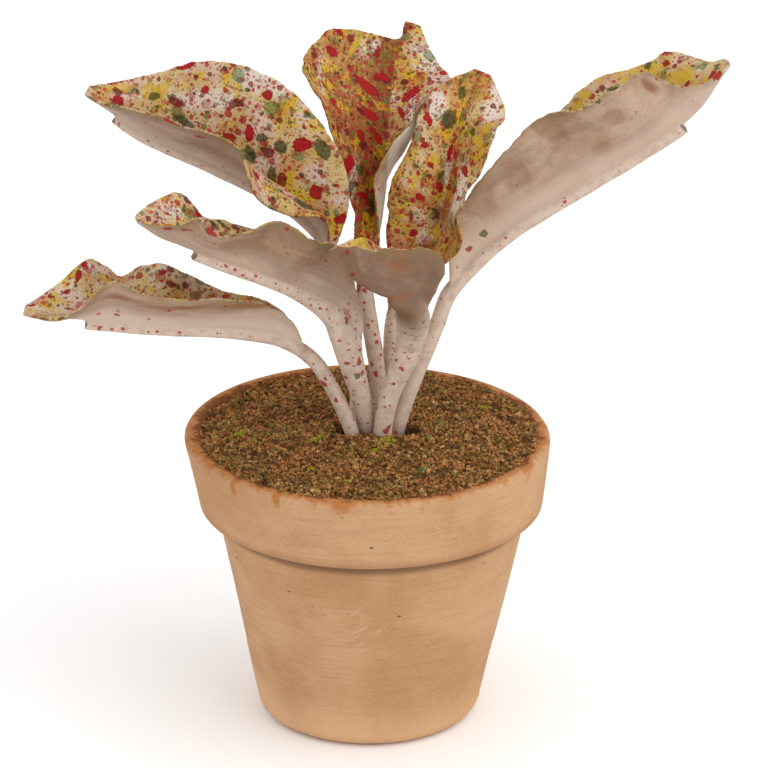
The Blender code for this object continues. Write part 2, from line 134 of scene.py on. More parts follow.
# Each leaf: "line" is the middle of its stalk, from the foot in the soil to the tip of the blade, as points
# in millimetres. The blade starts at the point numbered "blade_at", and the stalk runs on under it as far
# as "stalk_ends", a share of the blade. "faces" is the way the blade's upper side looks. For each half,
# "wide" is its width in millimetres, "fold" how far it rises from flat and "curl" how much further it has
# turned at its edge, both in degrees. All three are given as (share of the blade, value). A half without
# a curl has none.
LEAVES = {
    "leaf_low_left": {
        "blade_at": 4, "stalk_radius": 0.62, "stalk_ends": 0.78, "faces": (0.1, 0.05, 1.0),
        "line": [
            (-1.1, -2.0, 16.0), (-1.2, -2.0, 24.4), (-2.1, -2.2, 27.4), (-3.9, -2.6, 31.2),
            (-5.3, -2.9, 32.8), (-7.4, -3.4, 34.1), (-11.4, -4.1, 35.0), (-16.9, -4.5, 35.4),
            (-22.8, -4.6, 36.0), (-27.9, -4.3, 36.8),
        ],
        "left": {
            "wide": [
                (0, 0.5), (0.08, 1.9), (0.2, 3.3), (0.4, 4.6), (0.75, 5.2), (0.88, 4.6), (0.95, 3.0),
                (1, 1.1),
            ],
            "fold": [
                (0, 20), (0.1, 70), (0.3, 58), (0.45, 48), (0.6, 52), (0.71, 60), (0.8, 29), (0.87, 14),
                (1, 14),
            ],
        },
        "right": {
            "wide": [
                (0, 0.5), (0.08, 1.8), (0.2, 3.1), (0.4, 4.4), (0.53, 5.1), (0.8, 5.4), (0.9, 3.4),
                (1, 1.0),
            ],
            "fold": [
                (0, 20), (0.1, 60), (0.3, 34), (0.4, 46), (0.52, 67), (0.6, 46), (0.67, 25), (0.74, 38),
                (0.83, 47), (1, 20),
            ],
        },
    },
    "leaf_right": {
        "blade_at": 4, "stalk_radius": 0.68, "stalk_ends": 0.79, "faces": (-0.43, 0.57, 0.7),
        "line": [
            (2.1, -0.6, 16.0), (2.3, -0.4, 24.2), (3.1, 0.2, 27.2), (5.7, 1.9, 33.5), (6.8, 2.6, 36.0),
            (11.1, 3.9, 40.0), (16.5, 4.7, 43.3), (22.4, 5.0, 47.0), (26.7, 4.7, 50.4), (28.9, 4.2, 54.7),
        ],
        "left": {
            "wide": [
                (0, 0.5), (0.1, 2.6), (0.25, 4.6), (0.45, 6.8), (0.55, 7.7), (0.65, 8.1), (0.72, 7.9),
                (0.78, 7.5), (0.83, 7.6), (0.87, 7.5), (0.9, 6.8), (0.93, 5.0), (0.95, 3.8), (0.98, 3.3),
                (1, 1.4),
            ],
            "fold": [(0, 20), (0.1, 70), (0.5, 82), (0.6, 84), (0.7, 74), (0.8, 72), (0.9, 70), (1, 30)],
        },
        "right": {
            "wide": [
                (0, 0.5), (0.1, 3.2), (0.25, 5.4), (0.45, 7.2), (0.6, 7.2), (0.7, 7.7), (0.74, 6.8),
                (0.77, 5.8), (0.8, 5.3), (0.83, 4.4), (0.86, 3.3), (0.89, 2.4), (0.92, 1.6), (0.96, 1.0),
                (1, 0.6),
            ],
            "fold": [
                (0, 20), (0.1, 55), (0.2, 52), (0.45, 53), (0.6, 34), (0.7, 30), (0.74, 38), (0.77, 62),
                (0.8, 82), (0.83, 86), (0.87, 78), (0.92, 55), (0.96, 10), (1, 0),
            ],
        },
    },
    "leaf_upper_left": {
        "blade_at": 4, "stalk_radius": 0.6, "stalk_ends": 0.87, "faces": (0.5, -0.2, 0.85),
        "line": [
            (-1.0, 0.8, 16.0), (-1.0, 0.7, 24.0), (-1.0, 0.8, 30.0), (-2.0, 1.0, 36.0), (-2.9, 1.2, 39.8),
            (-6.4, 2.0, 43.4), (-12.6, 3.0, 46.5), (-18.8, 3.5, 49.4), (-22.9, 3.6, 52.9),
        ],
        "left": {
            "wide": [
                (0, 0.5), (0.1, 3.9), (0.2, 5.3), (0.4, 6.4), (0.7, 5.8), (0.88, 4.0), (0.95, 2.6),
                (1, 1.0),
            ],
            "fold": [
                (0, 20), (0.1, 66), (0.2, 72), (0.35, 76), (0.45, 58), (0.6, 51), (0.8, 50), (0.9, 44),
                (1, 20),
            ],
            "curl": [(0, 0), (0.1, -40), (0.2, -98), (0.33, -108), (0.45, -15), (0.7, 0), (1, 0)],
        },
        "right": {
            "wide": [
                (0, 0.5), (0.1, 3.7), (0.2, 6.0), (0.35, 8.1), (0.5, 8.5), (0.7, 7.1), (0.85, 4.7),
                (0.94, 2.3), (1, 0.8),
            ],
            "fold": [(0, 20), (0.1, 66), (0.5, 70), (0.9, 50), (1, 20)],
        },
    },
    "leaf_top": {
        "blade_at": 3, "stalk_radius": 0.7, "stalk_ends": 0.88, "faces": (0.1, -0.68, 0.73),
        "line": [
            (0.8, 0.8, 16.0), (0.9, 0.8, 23.5), (0.7, 1.4, 29.5), (-0.3, 2.2, 36.4), (0.0, 2.8, 39.5),
            (0.6, 4.8, 41.8), (1.4, 9.3, 46.6), (2.1, 13.9, 51.1), (3.5, 17.3, 54.1),
        ],
        "left": {
            "wide": [
                (0, 0.5), (0.15, 1.6), (0.3, 3.4), (0.45, 6.4), (0.57, 8.3), (0.65, 8.9), (0.7, 8.7),
                (0.74, 8.2), (0.78, 7.6), (0.82, 6.8), (0.855, 6.1), (0.868, 5.1), (0.88, 4.5), (0.89, 3.2),
                (0.9, 2.0), (0.915, 0.5), (0.96, 0.5), (1, 0.5),
            ],
            "fold": [
                (0, 20), (0.1, 28), (0.2, 34), (0.4, 36), (0.55, 32), (0.7, 14), (0.8, 2), (0.88, 0),
                (1, 10),
            ],
            "curl": [(0, 0), (0.6, 20), (0.8, 30), (1, 0)],
        },
        "right": {
            "wide": [
                (0, 0.5), (0.15, 1.4), (0.3, 3.0), (0.4, 4.1), (0.5, 5.8), (0.6, 6.6), (0.7, 5.6),
                (0.82, 4.5), (0.92, 2.4), (0.97, 1.4), (1, 1.0),
            ],
            "fold": [
                (0, 20), (0.1, 32), (0.2, 74), (0.3, 82), (0.4, 58), (0.5, 32), (0.6, 16), (0.75, 12),
                (0.9, 0), (1, 0),
            ],
            "curl": [
                (0, 0), (0.15, 10), (0.3, 45), (0.4, 70), (0.5, 88), (0.6, 92), (0.7, 30), (0.8, 5), (1, 0),
            ],
        },
    },
    "leaf_top_right": {
        "blade_at": 3, "stalk_radius": 0.62, "stalk_ends": 0.84, "faces": (-0.15, -0.8, 0.5),
        "line": [
            (1.8, 1.9, 16.0), (1.8, 1.9, 23.5), (1.8, 2.4, 29.5), (2.1, 2.7, 34.0), (4.0, 2.9, 38.1),
            (5.8, 3.2, 41.7), (6.7, 3.9, 45.8), (7.6, 5.0, 50.0), (9.3, 6.5, 53.6),
        ],
        "left": {
            "wide": [
                (0, 0.5), (0.15, 1.7), (0.3, 4.2), (0.5, 5.5), (0.6, 4.7), (0.7, 3.9), (0.85, 3.2),
                (0.93, 2.0), (1, 0.7),
            ],
            "fold": [(0, 20), (0.1, 66), (0.2, 72), (0.4, 76), (0.6, 72), (0.8, 48), (0.9, 14), (1, 0)],
            "curl": [(0, 0), (0.2, -80), (0.4, -122), (0.6, -112), (0.75, -70), (1, 0)],
        },
        "right": {
            "wide": [
                (0, 0.5), (0.15, 1.6), (0.3, 3.4), (0.42, 5.2), (0.5, 4.3), (0.56, 3.6), (0.65, 4.6),
                (0.77, 4.8), (0.9, 3.3), (1, 0.8),
            ],
            "fold": [
                (0, 20), (0.1, 50), (0.2, 40), (0.35, 42), (0.47, 62), (0.6, 48), (0.8, 38), (0.9, 10),
                (1, 0),
            ],
        },
    },
    "leaf_mid_left": {
        "blade_at": 3, "stalk_radius": 0.8, "stalk_ends": 0.77, "faces": (0.3, 0.35, 0.9),
        "line": [
            (0.0, -0.7, 16.0), (0.0, -0.8, 24.0), (-0.5, -1.9, 28.0), (-1.2, -2.6, 31.0),
            (-2.0, -3.3, 34.2), (-2.9, -3.8, 36.4), (-6.3, -5.2, 39.2), (-11.6, -7.2, 42.0),
            (-16.3, -8.6, 44.6), (-18.3, -9.4, 46.6),
        ],
        "left": {
            "wide": [
                (0, 0.5), (0.07, 1.1), (0.14, 1.5), (0.23, 2.4), (0.33, 4.5), (0.53, 5.5), (0.74, 4.6),
                (0.9, 3.6), (1, 1.0),
            ],
            "fold": [
                (0, 15), (0.07, 25), (0.16, 40), (0.23, 70), (0.31, 70), (0.38, 65), (0.46, 48), (0.59, 58),
                (0.69, 38), (0.77, 23), (0.87, 37), (1, 10),
            ],
        },
        "right": {
            "wide": [
                (0, 0.5), (0.07, 1.0), (0.14, 1.3), (0.23, 2.0), (0.33, 4.0), (0.5, 5.3), (0.63, 5.0),
                (0.74, 3.9), (0.8, 4.5), (0.86, 4.8), (0.91, 4.2), (0.95, 3.2), (0.975, 2.1), (1, 1.0),
            ],
            "fold": [
                (0, 15), (0.07, 25), (0.16, 40), (0.23, 60), (0.31, 56), (0.44, 40), (0.61, 40), (0.74, 50),
                (0.83, 58), (0.95, 54), (1, 30),
            ],
        },
    },
    "leaf_front": {
        "blade_at": 4, "stalk_radius": 0.85, "stalk_ends": 0.55, "faces": (0.0, 0.56, 0.83),
        "line": [
            (1.2, -2.2, 16.0), (1.1, -2.2, 24.5), (1.6, -2.3, 28.2), (2.6, -2.3, 30.9), (2.9, -2.4, 31.7),
            (3.4, -2.6, 33.6), (3.6, -4.4, 36.5), (2.8, -7.8, 38.8), (0.9, -11.6, 40.9),
            (-1.2, -14.3, 43.5), (-1.6, -16.0, 46.9),
        ],
        "left": {
            "wide": [
                (0, 0.5), (0.06, 0.9), (0.15, 1.1), (0.24, 1.8), (0.31, 3.6), (0.4, 4.7), (0.5, 4.8),
                (0.64, 4.1), (0.87, 2.8), (0.94, 2.0), (1, 0.9),
            ],
            "fold": [(0, 20), (0.1, 40), (0.24, 40), (0.37, 50), (0.55, 60), (0.82, 60), (1, 20)],
        },
        "right": {
            "wide": [
                (0, 0.5), (0.06, 0.9), (0.15, 1.1), (0.24, 1.5), (0.33, 3.4), (0.42, 4.6), (0.55, 5.1),
                (0.73, 4.6), (0.88, 2.8), (1, 0.9),
            ],
            "fold": [(0, 20), (0.1, 50), (0.19, 50), (0.28, 66), (0.55, 76), (0.82, 70), (1, 20)],
        },
    },
}

# How each leaf is painted and creased. "ochre_and_crease_shade" is how brown its paint is, for the left half
# and the right, and "reach" how far from the rib: the brown grows towards the rib, where it is partly painted
# shade in the crease. "dense" is how thickly it is spattered; "underside_tan_and_shade" how brown its
# underside is, partly its own tan and partly painted shade; and "band" how pale along the rib, on leaf_top
# partly painted light on its shaded rolled strip. "wrinkle" and "pleat" are depths and "crease" the width of
# the bend at the rib, in millimetres; "bare" is the share of the blade with the colour of the stalk; "fades"
# is the share of it where the stalk under the blade takes the blade's colour; "melt" is how softly blade and
# stalk run together.
LEAF_FINISH = {
    "leaf_low_left": {
        "ochre_and_crease_shade": (0.15, 0.15), "reach": 2.4, "dense": 0.95, "underside_tan_and_shade": 0.4, "band": 0.85, "wrinkle": 0.16,
        "pleat": 0.06, "crease": 1.0, "bare": 0.05, "fades": 1, "melt": 5,
    },
    "leaf_right": {
        "ochre_and_crease_shade": (0.3, 0.3), "reach": 2.4, "dense": 0.6, "underside_tan_and_shade": 0.2, "band": 0.6, "wrinkle": 0.2,
        "pleat": 0.04, "crease": 1.6, "bare": 0.06, "fades": 1, "melt": 9,
    },
    "leaf_upper_left": {
        "ochre_and_crease_shade": (0.45, 0.35), "reach": 2.4, "dense": 1.15, "underside_tan_and_shade": 0.5, "band": 0.5, "wrinkle": 0.14,
        "pleat": 0.08, "crease": 1.0, "bare": 0.0, "fades": 1, "melt": 5,
    },
    "leaf_top": {
        "ochre_and_crease_shade": (1.25, 0.55), "reach": 2.8, "dense": 1.8, "underside_tan_and_shade": -0.2, "band": 1.0, "wrinkle": 0.2,
        "pleat": 0.3, "crease": 0.3, "bare": 0.0, "fades": 1, "melt": 4,
    },
    "leaf_top_right": {
        "ochre_and_crease_shade": (0.85, 0.95), "reach": 0.8, "dense": 1.2, "underside_tan_and_shade": 0.3, "band": 0.0, "wrinkle": 0.16,
        "pleat": 0.2, "crease": 0.35, "bare": 0.0, "fades": 1, "melt": 4,
    },
    "leaf_mid_left": {
        "ochre_and_crease_shade": (0.15, 0.15), "reach": 2.4, "dense": 1.3, "underside_tan_and_shade": 0.5, "band": 0.3, "wrinkle": 0.18,
        "pleat": 0.1, "crease": 1.0, "bare": 0.2, "fades": 1, "melt": 5,
    },
    "leaf_front": {
        "ochre_and_crease_shade": (0.5, 0.5), "reach": 2.4, "dense": 0.9, "underside_tan_and_shade": 0.95, "band": 0.0, "wrinkle": 0.34,
        "pleat": 0.12, "crease": 1.0, "bare": 0.18, "fades": 0.1, "melt": 12,
    },
}

# The radius of the stalks that swell under the blade, from the foot to the end, as (share, millimetres).
GIRTHS = {
    "leaf_mid_left": [
        (0, 0.75), (0.35, 0.78), (0.44, 1.0), (0.54, 1.15), (0.61, 1.0), (0.74, 0.68), (1, 0.5),
    ],
    "leaf_front": [
        (0, 0.82), (0.45, 0.83), (0.58, 1.05), (0.68, 1.3), (0.75, 1.4), (0.83, 1.15), (0.91, 0.75),
        (1, 0.35),
    ],
}

# The larger splashes of paint on each leaf, by colour, and under "shade" patches of painted shade in the
# folds, valleys and dimples of the undersides: place across and down the picture in pixels, length and
# width in pixels, and the turn of the length in degrees.
SPLASH_COLOURS = ("crimson", "maroon", "green", "sea_green", "yellow", "pale", "shade")
SPLASHES = {
    "leaf_upper_left": {
        "crimson": [
            (302, 145, 20, 14, 0), (268, 95, 11, 11, 0), (187, 65, 18, 9, 20), (250, 134, 10, 18, 0),
            (316, 192, 13, 15, 0), (205, 90, 9, 8, 0), (257, 176, 8, 11, 0), (172, 122, 20, 8, -20),
            (199, 137, 9, 6, 0), (341, 219, 15, 12, 0), (118, 100, 12, 9, -20), (229, 136, 16, 7, -10),
        ],
        "maroon": [
            (237, 103, 16, 9, 10), (176, 102, 14, 9, -20), (268, 152, 15, 11, 0), (117, 91, 12, 8, -30),
            (282, 180, 9, 18, 0),
        ],
        "green": [
            (281, 147, 14, 13, 0), (262, 138, 14, 9, 0), (323, 150, 14, 24, 30), (154, 96, 11, 9, 0),
            (250, 155, 12, 18, 20), (272, 175, 9, 18, 0), (305, 205, 26, 17, -30), (172, 97, 10, 6, 0),
            (183, 121, 22, 9, -30), (307, 115, 8, 8, 0),
        ],
        "sea_green": [(238, 75, 14, 14, 0), (271, 108, 16, 15, 0)],
        "yellow": [
            (162, 91, 9, 26, -30), (152, 92, 24, 16, 0), (120, 88, 28, 10, 10), (286, 106, 5, 16, -10),
        ],
        "pale": [
            (262, 84, 60, 26, -20), (210, 100, 80, 22, 0), (306, 118, 20, 40, 20), (140, 92, 40, 14, 10),
        ],
    },
    "leaf_top": {
        "crimson": [
            (366, 85, 32, 14, -40), (383, 77, 18, 9, -15), (370, 115, 20, 13, -10), (349, 164, 13, 20, -15),
            (378, 138, 9, 15, 20), (361, 135, 12, 13, -30), (332, 52, 16, 12, -35), (377, 52, 7, 14, 0),
            (363, 196, 14, 8, -10), (411, 94, 24, 11, 45), (443, 73, 8, 9, 0), (401, 112, 7, 14, 30),
            (337, 30, 14, 7, -40), (333, 103, 7, 14, 0),
        ],
        "maroon": [(361, 111, 12, 9, 0), (416, 88, 9, 7, 30), (363, 145, 12, 10, 0)],
        "green": [(361, 170, 9, 13, 0), (349, 190, 8, 20, -20), (373, 208, 9, 22, 20)],
        "sea_green": [(430, 55, 14, 14, 0)],
        "yellow": [(326, 96, 8, 17, 0), (355, 45, 7, 32, -25)],
        "pale": [
            (368, 42, 26, 30, 0), (425, 60, 30, 50, 0), (320, 80, 10, 60, 0), (352, 185, 10, 60, -10),
            (414, 112, 20, 30, -25), (403, 135, 20, 50, -25), (391, 168, 18, 60, -12),
            (382, 205, 16, 60, 0),
        ],
    },
    "leaf_top_right": {
        "crimson": [
            (431, 165, 8, 8, 0), (440, 187, 10, 12, 0), (450, 152, 7, 16, -15), (465, 171, 9, 15, 20),
            (425, 145, 10, 7, 0), (414, 233, 8, 10, 0), (428, 118, 8, 14, 20), (420, 197, 9, 8, 0),
        ],
        "maroon": [(477, 123, 7, 6, 0), (411, 215, 5, 12, 0)],
        "green": [
            (449, 119, 16, 21, -15), (462, 93, 9, 14, 0), (436, 211, 6, 7, 0), (473, 132, 7, 9, 0),
            (440, 177, 6, 8, 0),
        ],
        "yellow": [
            (478, 141, 9, 32, 38), (434, 160, 14, 13, 0), (437, 232, 8, 18, 40), (487, 128, 16, 12, 30),
        ],
        "pale": [
            (459, 196, 22, 76, -15), (494, 108, 22, 70, -10), (437, 105, 22, 44, 0), (446, 178, 10, 60, -8),
            (428, 234, 26, 22, 0),
        ],
    },
    "leaf_right": {
        "crimson": [
            (717, 76, 12, 12, 0), (687, 84, 9, 6, 0), (668, 52, 13, 7, 0), (666, 63, 10, 7, 0),
            (469, 249, 7, 6, 0), (713, 74, 12, 10, 0),
        ],
        "maroon": [(602, 88, 6, 6, 0), (675, 66, 6, 6, 0)],
        "green": [
            (717, 67, 7, 14, -10), (648, 65, 9, 9, 0), (598, 101, 6, 6, 0), (484, 234, 9, 8, 0),
            (719, 75, 8, 14, 0), (612, 90, 14, 6, 20),
        ],
        "yellow": [
            (676, 78, 20, 16, 0), (665, 64, 18, 9, 10), (577, 108, 12, 20, -30), (625, 81, 10, 12, 40),
            (688, 76, 16, 20, 0), (655, 70, 16, 12, 0), (705, 80, 8, 8, 0), (585, 95, 14, 10, 30),
            (545, 124, 10, 14, -30),
        ],
        "pale": [(700, 68, 20, 10, -10)],
        "shade": [(649, 86, 26, 16, 0)],
    },
    "leaf_mid_left": {
        "crimson": [
            (167, 229, 10, 6, 0), (186, 230, 9, 4, 0), (213, 232, 14, 8, -25), (198, 215, 9, 6, 0),
            (347, 320, 5, 7, 0), (359, 361, 5, 9, 0), (362, 373, 5, 5, 0), (356, 338, 4, 4, 0),
        ],
        "maroon": [(237, 228, 10, 7, -30)],
        "green": [(220, 222, 20, 7, -25), (184, 209, 6, 8, 0), (214, 225, 8, 14, 35), (357, 376, 7, 9, 0)],
        "pale": [(172, 212, 26, 26, 0)],
    },
    "leaf_low_left": {
        "crimson": [
            (84, 264, 8, 7, 0), (78, 276, 7, 13, -10), (164, 272, 9, 6, 0), (50, 296, 5, 6, 0),
            (32, 305, 10, 4, 20), (99, 328, 5, 5, 0), (117, 315, 5, 3, 0), (324, 384, 10, 6, -30),
            (336, 400, 4, 5, 0), (312, 364, 4, 3, 0),
        ],
        "maroon": [(171, 284, 12, 7, -20), (65, 292, 10, 4, 20)],
        "green": [(178, 287, 12, 5, -20), (75, 318, 9, 8, 0), (61, 318, 6, 7, 0)],
        "yellow": [(105, 279, 20, 7, -30), (150, 289, 14, 6, -20), (77, 269, 8, 5, 10)],
        "pale": [(62, 288, 40, 16, 30), (90, 268, 30, 14, 0), (165, 270, 50, 12, 0)],
        "shade": [(120, 297, 60, 9, 0), (185, 308, 70, 9, -5), (250, 306, 60, 9, -15)],
    },
    "leaf_front": {
        "crimson": [
            (347, 253, 5, 8, 0), (352, 275, 5, 5, 0), (387, 430, 13, 6, 50), (404, 333, 4, 4, 0),
            (394, 384, 5, 4, 0), (396, 360, 3, 5, 0),
        ],
        "maroon": [(370, 243, 6, 5, 0)],
        "green": [(424, 322, 4, 6, 0)],
        "yellow": [(366, 246, 8, 6, 0)],
        "shade": [(398, 266, 104, 9, -17), (402, 297, 70, 10, -10)],
    },
}


def light_value(step):
    return ((step / 255 + 0.055) / 1.055) ** 2.4 if step > 10 else step / 255 / 12.92


def srgb(red, green, blue):
    """A colour given in the usual 0 to 255 steps, as light values."""
    return (light_value(red), light_value(green), light_value(blue), 1.0)


# Mesh helpers

def new_object(name, mesh, *materials):
    obj = bpy.data.objects.new(name, mesh)
    bpy.context.scene.collection.objects.link(obj)
    for material in materials:
        mesh.materials.append(material)
    return obj


def mesh_from(bm, name, smooth=True):
    mesh = bpy.data.meshes.new(name)
    bm.to_mesh(mesh)
    bm.free()
    mesh.shade_smooth() if smooth else mesh.shade_flat()
    return mesh


def finished_mesh(obj):
    """The object's mesh with its modifiers applied. The object is removed."""
    bpy.context.view_layer.update()
    graph = bpy.context.evaluated_depsgraph_get()
    mesh = bpy.data.meshes.new_from_object(obj.evaluated_get(graph))
    bpy.data.objects.remove(obj)
    return mesh


def set_values(mesh, name, values):
    """A number at each vertex, for the materials to read."""
    mesh.attributes.new(name, "FLOAT", "POINT").data.foreach_set("value", np.asarray(values, np.float32))


def put_on_plant(obj, cad_node=None):
    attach(obj, "root")
    if cad_node:
        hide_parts(cad_node)


def smooth_step(low, high, x):
    t = np.clip((x - low) / (high - low), 0.0, 1.0)
    return t * t * (3 - 2 * t)


# Curves through points

def eased(a, slope_a, b, slope_b, s):
    """The curve that leaves a and reaches b with these slopes, at a share s of the way."""
    return (
        a * (2 * s**3 - 3 * s**2 + 1)
        + slope_a * (s**3 - 2 * s**2 + s)
        + b * (3 * s**2 - 2 * s**3)
        + slope_b * (s**3 - s**2)
    )


def through(points, i, s):
    """The smooth curve through the points, at a share s of the way from point i to the next."""
    a, b = points[i], points[i + 1]
    before = points[i - 1] if i else a * 2 - b
    after = points[i + 2] if i + 2 < len(points) else b * 2 - a
    span = (b - a).length
    slope_a = (b - before) / ((a - before).length + span) * span
    slope_b = (after - a) / ((after - b).length + span) * span
    return eased(a, slope_a, b, slope_b, s)


def shares(points):
    """How far along each point lies, from 0 to 1, by the straight distances from point to point."""
    distances = [0.0]
    for a, b in zip(points, points[1:]):
        distances.append(distances[-1] + (b - a).length)
    return [distance / distances[-1] for distance in distances]


def along_points(points, t):
    """The point at a share t of the curve through the points."""
    marks = shares(points)
    at = min(max(t, 0.0), 1.0)
    i = max(k for k in range(len(points) - 1) if marks[k] <= at)
    return through(points, i, (at - marks[i]) / (marks[i + 1] - marks[i]))


def keyed(keys, t):
    """The value at t on a smooth line through (share, value) keys."""
    i = max(k for k in range(len(keys) - 1) if keys[k][0] <= t)
    (start, a), (end, b) = keys[i], keys[i + 1]
    before = keys[i - 1] if i else keys[i]
    after = keys[i + 2] if i + 2 < len(keys) else keys[i + 1]
    s = (t - start) / (end - start)
    slope_a = (b - before[1]) / (end - before[0]) * (end - start)
    slope_b = (after[1] - a) / (after[0] - start) * (end - start)
    return eased(a, slope_a, b, slope_b, s)


# Leaf shapes

def leaf_points(leaf):
    return [Vector(p) for p in leaf["line"]]


def rib_frame(leaf, u):
    """The stalk's middle at u along the blade, the side to its right, and its upper side."""
    points = leaf_points(leaf)
    start = shares(points)[leaf["blade_at"]]
    t = start + (1 - start) * u
    along = (along_points(points, t + RIB_STEP) - along_points(points, t - RIB_STEP)).normalized()
    side = along.cross(Vector(leaf["faces"])).normalized()
    return along_points(points, t), side, side.cross(along)


def blade_length(leaf):
    points = leaf_points(leaf)
    return sum((b - a).length for a, b in zip(points[leaf["blade_at"]:], points[leaf["blade_at"] + 1:]))


def half_section(leaf, finish, name, u, length, seed):
    """One half of the blade's section at u: for each step out, (across, rise, distance out, bulge)."""
    half = leaf[name]
    frill = FRILL_DEPTH * noise.noise(Vector((u * length / FRILL_LENGTH, seed, 0.0)))
    wide = max(keyed(half["wide"], u), LEAST_WIDTH) + frill * min(1.0, 8 * u)
    fold = radians(keyed(half["fold"], u))
    curl = radians(keyed(half.get("curl", NO_CURL), u))
    across = 0.0
    rise = RIB_LIFT * min(1.0, 8 * u, 6 * (1 - u))
    out = 0.0
    section = [(across, rise, out, 0.0)]
    for k in range(1, HALF_STEPS + 1):
        step = wide * ((k / HALF_STEPS) ** (1 + CROWDING)) - out
        middle = out + step / 2
        turned = fold * min(1.0, 0.4 + 0.6 * middle / finish["crease"]) + curl * middle / wide
        across += cos(turned) * step
        rise += sin(turned) * step
        out += step
        loose = min(1.0, max(0.0, out - 0.6) / 2.0) * min(1.0, 5 * u)
        place = Vector((u * length / WRINKLE_LENGTH, out / WRINKLE_LENGTH, seed))
        pleat = Vector(((u * length - 0.35 * out) / PLEAT_LENGTH, out / 7.0, seed + 9.0))
        bulge = finish["wrinkle"] * (noise.noise(place) + 0.4 * noise.noise(place * 2.7))
        bulge = loose * (bulge + finish["pleat"] * noise.noise(pleat))
        section.append((across - sin(turned) * bulge, rise + cos(turned) * bulge, out, bulge))
    return section


def blade_sheet(leaf, finish, seed):
    """The blade as a thin grid, and for each of its vertices how far it is along, across from the rib and in
    from the edge, and how far it bulges, in millimetres."""
    length = blade_length(leaf)
    columns = ceil(length / BLADE_ROW)
    bm = bmesh.new()
    bmesh.ops.create_grid(bm, x_segments=columns, y_segments=2 * HALF_STEPS, size=0.5)
    frames = [rib_frame(leaf, i / columns) for i in range(columns + 1)]
    halves = {
        name: [
            half_section(leaf, finish, name, i / columns, length, seed + more)
            for i in range(columns + 1)
        ]
        for name, more in (("left", 0.0), ("right", 31.7))
    }
    places = []
    for vert in bm.verts:
        column = round((vert.co.x + 0.5) * columns)
        row = round(vert.co.y * 2 * HALF_STEPS)
        way = 1 if row > 0 else -1
        middle, side, up = frames[column]
        section = halves["right" if row > 0 else "left"][column]
        across, rise, out, bulge = section[abs(row)]
        vert.co = (middle + side * across * way + up * rise) * MM
        places.append((column / columns * length, out * way, section[-1][2] - out, bulge))
    bmesh.ops.recalc_face_normals(bm, faces=bm.faces[:])
    up_there = frames[columns // 2][2]
    bm.normal_update()
    if sum(face.normal.dot(up_there) for face in bm.faces) < 0:
        bmesh.ops.reverse_faces(bm, faces=bm.faces[:])
    return bm, places


def stalk_path(name, leaf):
    """Points along the stalk, with its radius at each, in millimetres."""
    points = leaf_points(leaf)
    start = shares(points)[leaf["blade_at"]]
    end = start + (1 - start) * leaf["stalk_ends"]
    thick = leaf["stalk_radius"]
    swollen = start / end
    plain = [(0, FOOT_STALK_RADIUS), (0.75 * swollen, thick), (swollen, thick)]
    girth = GIRTHS.get(name, plain + [((1 + swollen) / 2, RIB_RADIUS), (1, RIB_RADIUS)])
    return [
        (along_points(points, end * k / STALK_STEPS), keyed(girth, k / STALK_STEPS))
        for k in range(STALK_STEPS + 1)
    ]


def stalk_mesh(path):
    """The stalk as a round tube of changing radius, cut off raggedly at its far end."""
    curve = bpy.data.curves.new("stalk", "CURVE")
    curve.dimensions = "3D"
    curve.bevel_depth = MM
    curve.bevel_resolution = STALK_ROUND
    curve.use_fill_caps = True
    line = curve.splines.new("POLY")
    line.points.add(len(path) - 1)
    for spot, (point, radius) in zip(line.points, path):
        spot.co = (*(point * MM), 1.0)
        spot.radius = radius * (1 + 0.05 * noise.noise(point * 0.6))
    mesh = finished_mesh(new_object("stalk", curve))
    cut, way = cut_end(path)
    for vert in mesh.vertices:
        point = vert.co / MM
        if (point - cut).dot(way) > -0.05:
            vert.co += way * CUT_RAGGEDNESS * noise.noise(point * 3.1) * MM
    return mesh


def cut_end(path):
    """Where a stalk is cut off at its far end, and the way it runs there."""
    last, before = path[-1][0], path[-2][0]
    return last, (last - before).normalized()


def melted_leaf(name, sheet, places, path, passes):
    """Blade and stalk run together in one skin, with a soft fillet where they meet and a thin edge."""
    blade = new_object(name + "_blade", sheet)
    body = blade.vertex_groups.new(name="body")
    for index, place in enumerate(places):
        body.add([index], min(1.0, place[2] / EDGE_TAPER), "REPLACE")
    wall = blade.modifiers.new("wall", "SOLIDIFY")
    wall.thickness = BLADE_THICKNESS * MM
    wall.offset = 0.0
    wall.use_even_offset = True
    wall.vertex_group = "body"
    wall.thickness_vertex_group = EDGE_THICKNESS_SHARE
    bm = bmesh.new()
    bm.from_mesh(finished_mesh(blade))
    bm.from_mesh(stalk_mesh(path))
    whole = new_object(name + "_whole", mesh_from(bm, name))
    skin = whole.modifiers.new("skin", "REMESH")
    skin.mode = "VOXEL"
    skin.voxel_size = VOXEL * MM
    skin.use_smooth_shade = True
    melt = whole.modifiers.new("melt", "SMOOTH")
    melt.factor = 0.5
    melt.iterations = passes
    return finished_mesh(whole)


def picture_ray(across, down):
    """From the camera through a place of the picture, in pixels: the eye and the way it looks, in metres."""
    turn = radians(VIEW_ELEVATION)
    back = Vector((0.0, -cos(turn), sin(turn)))
    up = Vector((0.0, sin(turn), cos(turn)))
    half = PICTURE_SIDE / 2
    eye = VIEW_CENTRE + back * VIEW_DISTANCE
    aim = VIEW_CENTRE + Vector((across - half, 0.0, 0.0)) * PICTURE_SCALE + up * (half - down) * PICTURE_SCALE
    return eye * MM, (aim - eye).normalized(), up


